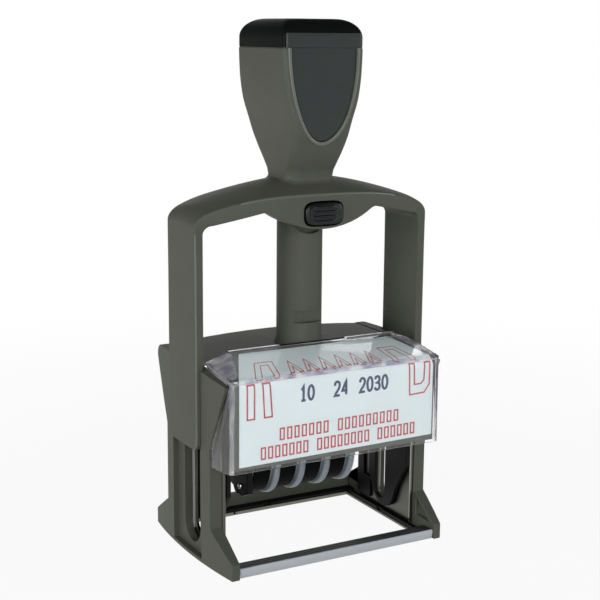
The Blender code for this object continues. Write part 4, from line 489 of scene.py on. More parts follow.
def underside_z(x):
    """Underside of the arch along its front, dipping to a boss before the column."""
    x = abs(x)
    line = underside_line(x)
    sag = ARCH_UNDERSIDE_Z - BOSS_BOTTOM_Z
    radius = (BOSS_HALF_WIDTH ** 2 + sag ** 2) / (2 * sag)
    boss = BOSS_BOTTOM_Z + radius - sqrt(max(0.0, radius ** 2 - x ** 2))
    share = min(1.0, max(0.0, 0.5 + 0.5 * (boss - line) / BOSS_BLEND))
    return boss + (line - boss) * share - BOSS_BLEND * share * (1 - share)


def yoke_stations():
    """Stations from the foot of a leg to the middle of the arch.

    Each is the inner point, the outer point, the half depth, the fall of the outer face at its front edge and
    how much higher the underside lies behind the boss.
    """
    stations = []
    foot = [0, 0.08, 0.25, 0.55, 1.0, 1.7, 3.0]
    heights = [LEG_BOTTOM_Z + rise for rise in foot] + [42 + 6 * i for i in range(9)]
    heights += [92, 94.5, 97, 99, 101, FILLET_Z]
    for z in heights:
        low = max(0.0, LEG_BOTTOM_Z + LEG_BOTTOM_RADIUS - z)
        half = LEG_HALF_DEPTH - LEG_BOTTOM_RADIUS + sqrt(max(0.0, LEG_BOTTOM_RADIUS ** 2 - low ** 2))
        toe = max(0.0, LEG_BOTTOM_Z + LEG_TOE_RADIUS - z)
        inset = LEG_TOE_RADIUS - sqrt(max(0.0, LEG_TOE_RADIUS ** 2 - toe ** 2))
        lift = SHOULDER_LIFT * ease((z - LEG_TURN_Z) / (FILLET_Z - LEG_TURN_Z))
        stations.append(((LEG_INNER_X, z), (LEG_OUTER_X - inset, z + lift), half, LEG_BOW, 0.0))
    for i in range(1, 11):
        angle = radians(9 * i)
        inner = (
            LEG_INNER_X - FILLET_RADIUS * (1 - cos(angle)), FILLET_Z + FILLET_RADIUS * sin(angle)
        )
        x = LEG_OUTER_X - SHOULDER_RADIUS * (1 - cos(angle))
        z = arch_top(x) - SHOULDER_RADIUS * (1 - sin(angle))
        fall = LEG_BOW + (edge_fall(x) - LEG_BOW) * ease(i / 10)
        stations.append((inner, (x, z), arch_half_depth(x), fall, 0.0))
    start = LEG_INNER_X - FILLET_RADIUS
    for i in range(1, 41):
        x = start * (1 - i / 40)
        outer = x + (LEG_OUTER_X - SHOULDER_RADIUS - start) * (x / start) ** 3
        low = underside_z(x)
        behind = max(0.0, min(underside_line(x), ARCH_TOP_Z - ARCH_LEAST_THICKNESS) - low)
        stations.append(((x, low), (outer, arch_top(outer)), arch_half_depth(outer), edge_fall(outer), behind))
    return stations


def yoke_ring(station, side):
    """Section of the yoke at a station."""
    inner, outer, half, fall, behind = station
    thick = sqrt((outer[0] - inner[0]) ** 2 + (outer[1] - inner[1]) ** 2)
    direction = ((outer[0] - inner[0]) / thick, (outer[1] - inner[1]) / thick)
    edge = min(EDGE_RADIUS, (thick - fall) * 0.4)
    low_edge = min(INNER_EDGE_RADIUS, (thick - fall) * 0.4)
    shoulder = half - edge
    top = [(shoulder * i / 12, thick - crown_fall(shoulder * i / 12, half, fall)) for i in range(13)]
    front = blend_corner(top[-1], (half, thick - fall), (half, thick - fall - edge))
    foot = blend_corner((half, low_edge), (half, 0.0), (half - low_edge, 0.0))
    right = top[:-1] + front + foot + [(share * half, 0.0) for share in (0.66, 0.58, 0.3)]
    left = [(-y, v) for y, v in reversed(right[1:])]
    ring = []
    for y, v in right + [(0.0, 0.0)] + left:
        if v <= low_edge and y > -BOSS_BACK_SHARE * half:
            v += behind
        ring.append((side * (inner[0] + direction[0] * v), y, inner[1] + direction[1] * v))
    return ring


def make_yoke():
    """Bow yoke: two legs and an arch, bored for the column, with a pocket for the button whose walls are black as
    painted shade.
    """
    stations = yoke_stations()
    left = [yoke_ring(s, -1) for s in stations]
    right = [yoke_ring(s, 1) for s in reversed(stations[:-1])]
    yoke = loft("yoke_body", left + right)
    smooth(yoke, 50)
    for finish in (SATIN_ABS, BLACK_ABS, EDGE_HIGHLIGHT_ABS):
        yoke.data.materials.append(finish)
    count = len(left[0])
    # Edge faces near the middle of the arch and on the legs take the lighter finish, a painted highlight along the
    # edges
    for face in yoke.data.polygons:
        step = min(face.index % count, count - 1 - face.index % count)
        x, z = abs(face.center.x) / MM, face.center.z / MM
        if step in HIGHLIGHT_STEPS and len(face.vertices) == 4 and (x < HIGHLIGHT_REACH or z < FILLET_Z):
            face.material_index = 2
    low, mouth = BOSS_BOTTOM_Z, YOKE_BORE_RADIUS + BORE_MOUTH
    cut(yoke, turned("bore", "Z", (0, 0), [
        (low - 3, mouth), (low + 0.2, mouth), (low + 0.7, YOKE_BORE_RADIUS), (ARCH_TOP_Z + 2, YOKE_BORE_RADIUS),
    ], 72))
    pocket = slab(
        "pocket", button_outline(POCKET_GAP), "Y", POCKET_FRONT_Y, POCKET_BACK_Y, POCKET_FLARE, POCKET_FLARE_DEPTH
    )
    # The pocket's walls point at the second of the yoke's finishes, so it has two slots. Their black is painted shade
    # in the gap round the button
    for slot in range(2):
        pocket.data.materials.append(BLACK_ABS)
    for face in pocket.data.polygons:
        face.material_index = 1
    cut(yoke, pocket)
    cut(yoke, slab("tongue_slot", tongue_outline(TONGUE_GAP), "Y", POCKET_BACK_Y - 0.5, -6.0))
    for side in (-1, 1):
        cut(yoke, leg_step(side))
    smooth(yoke, 42)
    return dress(yoke, "handle", SATIN_ABS, "body_shell", "yoke")


def leg_step(side):
    """Cutter for the shallow step low on a leg's outer face."""
    outline = [
        (9.6, LEG_STEP_TOP_Z), (7.6, 46.25), (5.4, 45.8), (3.6, 45.1), (2.0, 44.1), (0.9, 42.8), (0.2, 41.0),
        (0.0, 39.0), (-0.1, LEG_STEP_BOTTOM_Z), (LEG_STEP_REACH, LEG_STEP_BOTTOM_Z), (LEG_STEP_REACH, LEG_STEP_TOP_Z),
    ]
    ring_low, ring_high = [], []
    for y, z in outline:
        bow = LEG_BOW * min(1.0, (y / LEG_HALF_DEPTH) ** 2)
        ring_low.append((side * (LEG_OUTER_X - bow - LEG_STEP_DEPTH), y, z))
        ring_high.append((side * (LEG_OUTER_X + 1), y, z))
    return loft("leg_step", [ring_low, ring_high])


def button_outline(margin=0.0):
    """Front view of the lock button in (x, z): rounded ends, arched top and bottom."""
    half_width, half_height = BUTTON_HALF_WIDTH + margin, BUTTON_HALF_HEIGHT + margin
    points = []
    for i in range(48):
        angle = 2 * pi * i / 48
        c, s = cos(angle), sin(angle)
        x = half_width * (1 if c > 0 else -1) * abs(c) ** 0.42
        z = half_height * (1 if s > 0 else -1) * abs(s) ** 0.62
        points.append((x, BUTTON_CENTRE_Z + z))
    return points


def tongue_outline(margin=0.0):
    """Front view of the button's tongue in (x, z)."""
    half_width, half_height = TONGUE_HALF_WIDTH + margin, TONGUE_HALF_HEIGHT + margin
    return rectangle((-half_width, BUTTON_CENTRE_Z - half_height), (half_width, BUTTON_CENTRE_Z + half_height))


def make_button():
    """Lock button: a pillowed face with four ribs across it, and a tongue behind."""
    outline = button_outline()
    rings = []
    for share, y in [(1.0, BUTTON_BACK_Y)] + BUTTON_PILLOW:
        rings.append([(x * share, y, BUTTON_CENTRE_Z + (z - BUTTON_CENTRE_Z) * share) for x, z in outline])
    button = loft("lock_button_cap", rings)
    smooth(button, 30)
    for i in range(4):
        z = BUTTON_CENTRE_Z + RIB_PITCH * (i - 1.5)
        half = 5.0 if i in (1, 2) else 4.2
        rings = []
        for j in range(17):
            x = half * (2 * j / 16 - 1)
            proud = RIB_PROUD * sqrt(max(0.0, 1 - (x / (half + 0.01)) ** 4))
            angles = [pi * k / 8 for k in range(9)]
            rings.append([(x, RIB_ROOT_Y - proud * sin(a), z - RIB_HALF_HEIGHT * cos(a)) for a in angles])
        cut(button, loft(f"rib_{i}", rings), "UNION")
    cut(button, slab("tongue", tongue_outline(), "Y", TONGUE_ROOT_Y, TONGUE_TIP_Y), "UNION")
    smooth(button, 40)
    return dress(button, "lock", BLACK_ACETAL, "gloss_black", "lock_button")


# ---------------------------------------------------------------- grip

GRIP_SHAPE = [
    # share of the height, of the growth in width and in depth from the neck, corner radius in millimetres
    (0.000, 0.000, 0.075, 4.7),
    (0.030, 0.000, 0.075, 4.7),
    (0.100, 0.022, 0.265, 3.6),
    (0.210, 0.125, 0.596, 2.6),
    (0.330, 0.241, 0.905, 2.1),
    (0.455, 0.395, 1.036, 1.7),
    (0.600, 0.704, 1.059, 1.5),
    (0.750, 0.884, 1.047, 1.4),
    (0.880, 0.961, 1.024, 1.35),
    (1.000, 1.000, 1.000, 1.3),
]


def through(rows, share):
    """Smooth curve through a table's rows at a share of the first column."""
    k = max(i for i in range(len(rows) - 1) if rows[i][0] <= share or i == 0)
    before, start, end, after = rows[max(0, k - 1)], rows[k], rows[k + 1], rows[min(len(rows) - 1, k + 2)]
    width = end[0] - start[0]
    t = (share - start[0]) / width
    values = []
    for i in range(1, len(start)):
        rise_in = (end[i] - before[i]) / (end[0] - before[0]) * width
        rise_out = (after[i] - start[i]) / (after[0] - start[0]) * width
        values.append(
            (2 * t ** 3 - 3 * t ** 2 + 1) * start[i] + (t ** 3 - 2 * t ** 2 + t) * rise_in
            + (3 * t ** 2 - 2 * t ** 3) * end[i] + (t ** 3 - t ** 2) * rise_out
        )
    return values


def grip_section(z):
    """Half width, half depth and corner radius of the grip at a height."""
    share = min(1.0, max(0.0, (z - GRIP_BOTTOM_Z) / (GRIP_TOP_Z - GRIP_BOTTOM_Z)))
    width_share, depth_share, corner = through(GRIP_SHAPE, share)
    rise = z - GRIP_BOTTOM_Z
    flare = 0.0
    if rise < FOOT_FLARE_RADIUS:
        flare = FOOT_FLARE_RADIUS - sqrt(FOOT_FLARE_RADIUS ** 2 - (FOOT_FLARE_RADIUS - rise) ** 2)
    half_width = NECK_HALF_WIDTH + (TOP_HALF_WIDTH - NECK_HALF_WIDTH) * width_share + flare
    half_depth = NECK_HALF_WIDTH + (TOP_HALF_DEPTH - NECK_HALF_WIDTH) * depth_share + flare
    return half_width, half_depth, corner + flare


def skin_section(z, inset=0.0):
    """Section of the grip, or of the cap above it."""
    if z <= GRIP_TOP_Z:
        half_width, half_depth, corner = grip_section(z)
    else:
        half_width, half_depth, corner = TOP_HALF_WIDTH, TOP_HALF_DEPTH, CAP_CORNER_RADIUS
        over = z - (CAP_TOP_Z - CAP_EDGE_RADIUS)
        if over > 0:
            draw = CAP_EDGE_RADIUS - sqrt(max(0.0, CAP_EDGE_RADIUS ** 2 - over ** 2))
            half_width, half_depth, corner = half_width - draw, half_depth - draw, corner + draw / 3
    return half_width - inset, half_depth - inset, max(0.3, corner - inset * 0.5)


def skin_ring(z, inset=0.0, level=None):
    """Ring of the grip's or the cap's skin: deeper behind than in front, above the neck."""
    half_width, half_depth, corner = skin_section(z, inset)
    swell = REAR_SWELL * ease((min(z, GRIP_TOP_Z) - GRIP_BOTTOM_Z - 4) / 16)
    ring = rounded_ring(half_width, half_depth, corner, z if level is None else level)
    return [(x, y * (1 + swell / half_depth) if y > 0 else y, height) for x, y, height in ring]


def panel_outline(margin=0.0, drop_margin=None):
    """Front view of the panel in (x, z): half an ellipse below, straight sides above."""
    drop = PANEL_DROP + (margin if drop_margin is None else drop_margin)
    half = PANEL_HALF_WIDTH + margin
    points = [(half * cos(pi + pi * i / 48), GRIP_TOP_Z + drop * sin(pi + pi * i / 48)) for i in range(49)]
    return points + [(half, GRIP_TOP_Z + 3), (-half, GRIP_TOP_Z + 3)]


def make_grip():
    """Waisted grip whose flared foot follows the arch's crown, with a bevelled seat for the panel."""
    heights = [GRIP_BOTTOM_Z + FOOT_FLARE_RADIUS * (1 - cos(pi * i / 16)) for i in range(FOOT_RINGS)]
    start = GRIP_BOTTOM_Z + FOOT_FLARE_RADIUS + 0.8
    heights += [start + (GRIP_TOP_Z - 0.25 - start) * i / 52 for i in range(53)]
    rings = []
    for i, z in enumerate(heights):
        ring = skin_ring(z)
        if i < FOOT_RINGS:
            ring = [
                (x, y, arch_top(x) - crown_fall(y, arch_half_depth(x), edge_fall(x)) + z - GRIP_BOTTOM_Z)
                for x, y, _ in ring
            ]
        rings.append(ring)
    # Rounded upper edge, then a spigot up into the cap
    spigot_z = GRIP_TOP_Z + CAP_GAP + 0.1
    for inset, level in ((0.12, GRIP_TOP_Z - 0.06), (0.3, None), (SPIGOT_INSET, None), (SPIGOT_INSET, spigot_z)):
        rings.append(skin_ring(GRIP_TOP_Z, inset, level))
    grip = loft("grip_body", rings)
    cavity = [(GRIP_BOTTOM_Z - 2, YOKE_BORE_RADIUS), (CAVITY_TOP_Z, YOKE_BORE_RADIUS)]
    cut(grip, turned("cavity", "Z", (0, 0), cavity, 72))
    outline = panel_outline(PANEL_GAP)
    deep = [(x, -TOP_HALF_DEPTH + SHIELD_THICKNESS + PANEL_GAP, z) for x, z in outline]
    centre_z = GRIP_TOP_Z - 8
    rings = [deep]
    for sink, grow in ((0.2, 0.0), (0.0, SEAT_CHAMFER), (-1.5, SEAT_CHAMFER)):
        ring = []
        for x, z in outline:
            depth = skin_section(min(z, GRIP_TOP_Z))[1]
            nx, nz = x / PANEL_HALF_WIDTH, (z - centre_z) / PANEL_DROP
            length = sqrt(nx * nx + nz * nz)
            ring.append((x + grow * nx / length, min(-depth + sink, deep[0][1] - 0.01), z + grow * nz / length))
        rings.append(ring)
    cut(grip, loft("seat", rings))
    smooth(grip, 28)
    return dress(grip, "handle", SATIN_ABS, "body_shell", "grip")


def make_panel_rim():
    """Moulded rim round the panel's seat, lighter in colour as a painted highlight round the seat."""
    rings = []
    for x, z in panel_outline(PANEL_GAP + SEAT_CHAMFER)[:-2]:
        front = -skin_section(z)[1]
        nx, nz = x / PANEL_HALF_WIDTH, (z - GRIP_TOP_Z) / PANEL_DROP
        length = sqrt(nx * nx + nz * nz)
        across = (nx / length, nz / length if z < GRIP_TOP_Z - 0.5 else 0.0)
        section = [
            (0.0, 0.4), (0.0, -RIM_PROUD * 0.6), (0.15, -RIM_PROUD), (RIM_WIDTH_ON_GRIP - 0.3, -RIM_PROUD),
            (RIM_WIDTH_ON_GRIP, 0.02), (RIM_WIDTH_ON_GRIP, 0.4),
        ]
        rings.append([(x + grow * across[0], front + sink, z + grow * across[1]) for grow, sink in section])
    rim = loft("panel_rim", rings)
    smooth(rim, 40)
    dress(rim, "handle", EDGE_HIGHLIGHT_ABS, "body_shell")


def make_panel():
    """Panel in black ABS lightened by painted light: a shield let into the grip, and a band across the cap's front.
    """
    heights = [PANEL_SKIN_BOTTOM_Z + 0.7 * i for i in range(43)] + [GRIP_TOP_Z]
    heights += [GRIP_TOP_Z + 0.2 + 0.72 * i for i in range(8)]
    skin = loft("skin", [skin_ring(z, 0.0 if z > GRIP_TOP_Z + 0.1 else PANEL_SINK) for z in heights])
    outline = [(x, min(z, GRIP_TOP_Z + 1)) for x, z in panel_outline()]
    panel = slab("front_panel_face", outline, "Y", PANEL_BLANK_FRONT_Y, -TOP_HALF_DEPTH + SHIELD_THICKNESS)
    half = TOP_HALF_WIDTH - CAP_CORNER_RADIUS / 2
    outline = rectangle((-half, GRIP_TOP_Z + CAP_GAP), (half, PANEL_TOP_Z))
    cut(panel, slab("band", outline, "Y", PANEL_BLANK_FRONT_Y, -TOP_HALF_DEPTH + BAND_THICKNESS), "UNION")
    cut(panel, skin, "INTERSECT")
    soften(panel, 0.16, 2, 40)
    smooth(panel, 30)
    return dress(panel, "handle", BLACK_ABS_LIGHTENED, "black_plastic", "front_panel")


def make_cap():
    """Black cap with round upper edges, cut back for the panel's band."""
    bottom = GRIP_TOP_Z + CAP_GAP
    top_start = CAP_TOP_Z - CAP_EDGE_RADIUS
    heights = [z for z in [bottom + 0.12] + [bottom + 0.4 + 0.45 * i for i in range(5)] if z < top_start]
    heights += [top_start + CAP_EDGE_RADIUS * sin(radians(90 * i / 12)) for i in range(13)]
    cap = loft("grip_cap_shell", [skin_ring(bottom, 0.2)] + [skin_ring(z) for z in heights])
    half = TOP_HALF_WIDTH - CAP_CORNER_RADIUS / 2 + REBATE_GAP
    outline = rectangle((-half, bottom - 2), (half, PANEL_TOP_Z + 0.12))
    cut(cap, slab("rebate", outline, "Y", PANEL_BLANK_FRONT_Y - 0.5, -TOP_HALF_DEPTH + BAND_THICKNESS + REBATE_GAP))
    smooth(cap, 30)
    return dress(cap, "handle", BLACK_ABS, "black_plastic", "grip_cap")


# ---------------------------------------------------------------- column

def make_column():
    """Guide column with a spreading foot, two lock notches and its bore."""
    base, top = COLUMN_BASE_Z, COLUMN_TOP_Z
    profile = [(COLUMN_STEM_Z, COLUMN_STEM_RADIUS), (base, COLUMN_STEM_RADIUS)]
    for rise, spread in ((0.0, 0.6), (0.5, 0.45), (1.2, 0.15), (2.2, 0.0)):
        profile.append((base + rise, COLUMN_RADIUS + spread))
    profile += [(base + 2.2 + (top - 3 - base) * i / 10, COLUMN_RADIUS) for i in range(1, 11)]
    profile += [(top, COLUMN_RADIUS - 0.4)]
    column = turned("column_tube", "Z", (0, 0), profile, 80)
    bore = [(COLUMN_BORE_Z, COLUMN_BORE_RADIUS), (top + 1, COLUMN_BORE_RADIUS)]
    cut(column, turned("bore", "Z", (0, 0), bore, 48))
    lower = rectangle((-NOTCH_REACH, LOWER_NOTCH_Z[0]), (NOTCH_REACH, LOWER_NOTCH_Z[1]))
    low, high = UPPER_NOTCH_Z
    dip = [(NOTCH_DIP_HALF_WIDTH * cos(pi * i / 16), low - NOTCH_DIP * sin(pi * i / 16)) for i in range(17)]
    upper = [(NOTCH_REACH, high), (NOTCH_REACH, low), *dip, (-NOTCH_REACH, low), (-NOTCH_REACH, high)]
    for outline in (lower, upper):
        cut(column, slab("notch", outline, "Y", NOTCH_FRONT_Y, NOTCH_BACK_Y))
    smooth(column, 30)
    return dress(column, "base", SATIN_ABS, "body_shell", "guide_column")


# ---------------------------------------------------------------- window and card

def window_top(y, depth=0.0):
    """Height of the window's sloping top, or of a layer under it."""
    slope = WINDOW_RISE / (WINDOW_BACK_Y - WINDOW_FRONT_Y)
    return WINDOW_TOP_FRONT_Z + slope * (y - WINDOW_FRONT_Y) - depth * sqrt(1 + slope ** 2)


def window_bevel(y):
    """Width and drop of the bevel at each end of the window's top."""
    share = (y - WINDOW_FRONT_Y) / (WINDOW_BACK_Y - WINDOW_FRONT_Y)
    return 2.0 + 6.0 * share, 0.4 + 2.4 * share


def window_block(name, outline, inset, radius):
    """Outer skin of the window, or its hollow, with rounded front edges and bevelled ends."""
    half = WINDOW_HALF_WIDTH - inset
    block = slab(name, outline, "X", -half, half)
    front = WINDOW_FRONT_Y + inset
    bm = bmesh.new()
    bm.from_mesh(block.data)
    wanted = []
    for edge in bm.edges:
        a, b = (v.co / MM for v in edge.verts)
        at_front = abs(a.y - front) < 0.1 and abs(b.y - front) < 0.1
        if at_front and (abs(a.x - b.x) < 0.1 or min(a.z, b.z) > WINDOW_BOTTOM_Z + 2):
            wanted.append(edge)
    bmesh.ops.bevel(
        bm, geom=wanted, offset=radius * MM, segments=6, affect="EDGES", profile=0.5, clamp_overlap=True
    )
    bm.to_mesh(block.data)
    bm.free()
    for side in (-1, 1):
        rings = []
        for i in range(11):
            y = WINDOW_FRONT_Y - 1 + 2.0 * i + (i == 10)
            z = window_top(y, inset)
            width, drop = window_bevel(y)
            slope = drop / width
            rings.append([
                (side * (half + 2), y, z - drop - 2 * slope),
                (side * (half + 2), y, z + 2),
                (side * (half - width - 2), y, z + 2 * slope),
            ])
        cut(block, loft("wedge", rings))
    return block


def make_window():
    """Clear cover: rounded front edges, bevelled ends, two tabs along its rear edge."""
    seat, back = WINDOW_SEAT_Y, WINDOW_BACK_Y
    lips = [(y, window_top(y) - window_bevel(y)[1] - WINDOW_LIP) for y in (WINDOW_FLARE_Y, back)]
    window = window_block("index_window_shell", [
        (WINDOW_FRONT_Y, WINDOW_BOTTOM_Z), (seat, WINDOW_BOTTOM_Z), (seat, WINDOW_SEAT_TOP_Z), *lips,
        (back, window_top(back)), (WINDOW_FRONT_Y, WINDOW_TOP_FRONT_Z),
    ], 0.0, WINDOW_EDGE_RADIUS)
    tab_front = back - TAB_DEPTH
    z = window_top(tab_front)
    outline = [
        (tab_front, z - 0.5), (back, z - 0.5), (back, z + 0.45), (back - 0.2, z + 0.6), (tab_front + 0.2, z + 0.6),
        (tab_front, z + 0.45),
    ]
    for side in (-1, 1):
        cut(window, slab("tab", outline, "X", *sorted((side * TAB_NEAR_X, side * TAB_FAR_X))), "UNION")
    y_front, y_back = WINDOW_FRONT_Y + WINDOW_WALL, back + 2
    cut(window, window_block("hollow", [
        (y_front, WINDOW_BOTTOM_Z - 2), (y_back, WINDOW_BOTTOM_Z - 2),
        (y_back, window_top(y_back, WINDOW_WALL)), (y_front, window_top(y_front, WINDOW_WALL)),
    ], WINDOW_WALL, HOLLOW_EDGE_RADIUS))
    # The ends spread outwards below the top, most at the seat
    for vertex in window.data.vertices:
        x, y, z = vertex.co / MM
        spread = min((y - WINDOW_FRONT_Y) / (seat - WINDOW_FRONT_Y), (back - y) / (back - seat))
        spread *= min(1.0, max(0.0, (END_SPREAD_TOP_Z - z) / 4)) * END_SPREAD
        spread *= min(1.0, abs(x) / WINDOW_HALF_WIDTH)
        vertex.co.x += (spread if x > 0 else -spread) * MM
    window.data.materials.clear()
    window.data.materials.append(CLEAR_ACRYLIC)
    window.data.materials.append(EDGE_ACRYLIC)
    slope = Vector((0, -WINDOW_RISE, back - WINDOW_FRONT_Y)).normalized()
    broad = [Vector((0, -1, 0)), slope, Vector((1, 0, 0))]
    for face in window.data.polygons:
        flat = max(abs(face.normal.dot(way)) for way in broad)
        face.material_index = 0 if flat > BROAD_FACE else 1
    smooth(window, 25)
    return dress(window, "index_cover", CLEAR_ACRYLIC, "clear_plastic", "index_window")


def card_path():
    """Card's outer face in (y, z, half width), from its lower edge over the fold to its rear edge."""
    slope = WINDOW_RISE / (WINDOW_BACK_Y - WINDOW_FRONT_Y)
    fold_z = window_top(CARD_FRONT_Y, WINDOW_WALL + 0.3)
    rise = fold_z - CARD_FOLD_RADIUS - CARD_BOTTOM_Z
    front = [(CARD_FRONT_Y, CARD_BOTTOM_Z + rise * i / CARD_FRONT_STEPS) for i in range(CARD_FRONT_STEPS)]
    bend = blend_corner(
        (CARD_FRONT_Y, fold_z - CARD_FOLD_RADIUS), (CARD_FRONT_Y, fold_z),
        (CARD_FRONT_Y + CARD_FOLD_RADIUS, fold_z + slope * CARD_FOLD_RADIUS), 8,
    )
    start = bend[-1]
    top = [
        (start[0] + (CARD_BACK_Y - start[0]) * i / 10, start[1] + slope * (CARD_BACK_Y - start[0]) * i / 10)
        for i in range(1, 11)
    ]
    path = []
    for y, z in front + bend + top:
        share = max(0.0, (y - CARD_FRONT_Y) / (CARD_BACK_Y - CARD_FRONT_Y))
        path.append((y, z, CARD_HALF_WIDTH + (CARD_BACK_HALF_WIDTH - CARD_HALF_WIDTH) * share))
    return path


CARD_PATH = card_path()


def skew(x, z):
    """How far the card's lower right is cut up from level, at a place on its front."""
    front_height = CARD_PATH[CARD_FRONT_STEPS][1] - CARD_BOTTOM_Z
    share = 0.5 + 0.5 * (x - CARD_SHIFT) / CARD_HALF_WIDTH
    return CARD_SKEW * share * max(0.0, 1 - (z - CARD_BOTTOM_Z) / front_height)


def card_lengths():
    """Distance along the card's path at each of its points, from the lower edge."""
    lengths = [0.0]
    for a, b in zip(CARD_PATH, CARD_PATH[1:]):
        lengths.append(lengths[-1] + sqrt((b[0] - a[0]) ** 2 + (b[1] - a[1]) ** 2))
    return lengths


CARD_LENGTHS = card_lengths()


def on_card(x, s, lift):
    """Point on the card at a place across and a distance up from its lower edge, lifted off its face."""
    s = min(CARD_LENGTHS[-1] - 0.001, max(0.0, s))
    k = max(i for i in range(len(CARD_LENGTHS) - 1) if CARD_LENGTHS[i] <= s)
    t = (s - CARD_LENGTHS[k]) / (CARD_LENGTHS[k + 1] - CARD_LENGTHS[k])
    a, b = CARD_PATH[k], CARD_PATH[k + 1]
    dy, dz = b[0] - a[0], b[1] - a[1]
    length = sqrt(dy * dy + dz * dz)
    z = a[1] + dz * t + lift * dy / length
    return (x + CARD_SHIFT, a[0] + dy * t - lift * dz / length, z + skew(x + CARD_SHIFT, z))


def make_card():
    """Index card folded over the top of the front wall."""
    rings = []
    for i, (y, z, half) in enumerate(CARD_PATH):
        a, b = CARD_PATH[max(0, i - 1)], CARD_PATH[min(len(CARD_PATH) - 1, i + 1)]
        dy, dz = b[0] - a[0], b[1] - a[1]
        length = sqrt(dy * dy + dz * dz)
        inner = (y + CARD_THICKNESS * dz / length, z - CARD_THICKNESS * dy / length)
        xs = [CARD_SHIFT + half * (2 * k / 8 - 1) for k in range(9)]
        ring = [(x, y, z) for x in xs] + [(x, *inner) for x in reversed(xs)]
        rings.append([(px, py, pz + skew(px, pz)) for px, py, pz in ring])
    card = loft("index_card_sheet", rings)
    smooth(card, 35)
    return dress(card, "base", COATED_CARD, "card", "index_card")


def make_backing():
    """Plate that backs the card and frames it."""
    outline = rectangle((-BACKING_HALF_WIDTH, BACKING_BOTTOM_Z), (BACKING_HALF_WIDTH, BACKING_TOP_Z))
    backing = slab("card_backing", outline, "Y", CARD_FRONT_Y + CARD_THICKNESS + 0.05, BACKING_BACK_Y)
    soften(backing, 0.12, 2)
    smooth(backing)
    return dress(backing, "base", SATIN_ABS, "body_shell")


def ribbon(points, width, closed=False):
    """Mitred stroke of a width along points in (x, s), as its left and right edges."""
    fine = []
    total = len(points) if closed else len(points) - 1
    for k in range(total):
        a, b = points[k], points[(k + 1) % len(points)]
        steps = max(1, int(sqrt((b[0] - a[0]) ** 2 + (b[1] - a[1]) ** 2) / 0.6))
        fine += [(a[0] + (b[0] - a[0]) * i / steps, a[1] + (b[1] - a[1]) * i / steps) for i in range(steps)]
    if not closed:
        fine.append(points[-1])
    left, right = [], []
    count = len(fine)
    for k, (x, s) in enumerate(fine):
        before = fine[k - 1] if closed or k else fine[k]
        after = fine[(k + 1) % count] if closed or k < count - 1 else fine[k]
        in_x, in_s = x - before[0], s - before[1]
        out_x, out_s = after[0] - x, after[1] - s
        in_length, out_length = sqrt(in_x ** 2 + in_s ** 2), sqrt(out_x ** 2 + out_s ** 2)
        if in_length < 1e-6:
            in_x, in_s, in_length = out_x, out_s, out_length
        if out_length < 1e-6:
            out_x, out_s, out_length = in_x, in_s, in_length
        nx = -(in_s / in_length + out_s / out_length)
        ns = in_x / in_length + out_x / out_length
        length = sqrt(nx * nx + ns * ns)
        nx, ns = nx / length, ns / length
        mitre = max(0.35, nx * -in_s / in_length + ns * in_x / in_length)
        left.append((x + nx * width / 2 / mitre, s + ns * width / 2 / mitre))
        right.append((x - nx * width / 2 / mitre, s - ns * width / 2 / mitre))
    return left, right, closed


def print_on_card(name, strokes, ink):
    """Strokes of ink standing a hair proud of the card."""
    vertices, faces = [], []
    for left, right, closed in strokes:
        first, count = len(vertices), len(left)
        for a, b in zip(left, right):
            vertices += [on_card(*a, INK_LOW), on_card(*a, INK_HIGH), on_card(*b, INK_HIGH), on_card(*b, INK_LOW)]
        for k in range(count if closed else count - 1):
            p, q = first + 4 * k, first + 4 * ((k + 1) % count)
            for i in range(4):
                j = (i + 1) % 4
                faces.append((p + i, p + j, q + j, q + i))
        if not closed:
            faces.append(tuple(first + i for i in range(4)))
            faces.append(tuple(first + 4 * (count - 1) + i for i in range(4)))
    return dress(make_object(name, vertices, faces), "base", ink, "card")


DIGITS = {
    # Strokes on a field one wide and one high
    "0": [([(0.5 + 0.5 * cos(2 * pi * i / 20), 0.5 + 0.5 * sin(2 * pi * i / 20)) for i in range(20)], True)],
    "1": [([(0.12, 0.76), (0.36, 0.84), (0.56, 1.0), (0.56, 0.0)], False), ([(0.15, 0.0), (0.95, 0.0)], False)],
    "2": [([(0.02, 0.72), (0.08, 0.88), (0.28, 0.99), (0.6, 1.0), (0.86, 0.92), (0.97, 0.76), (0.9, 0.58),
            (0.66, 0.4), (0.3, 0.2), (0.05, 0.0), (1.0, 0.0)], False)],
    "3": [([(0.03, 0.8), (0.18, 0.95), (0.5, 1.0), (0.82, 0.94), (0.93, 0.77), (0.8, 0.6), (0.45, 0.53),
            (0.82, 0.47), (0.98, 0.27), (0.84, 0.07), (0.5, 0.0), (0.16, 0.05), (0.0, 0.2)], False)],
    "4": [([(0.74, 0.0), (0.74, 1.0), (0.0, 0.3), (1.0, 0.3)], False)],
}


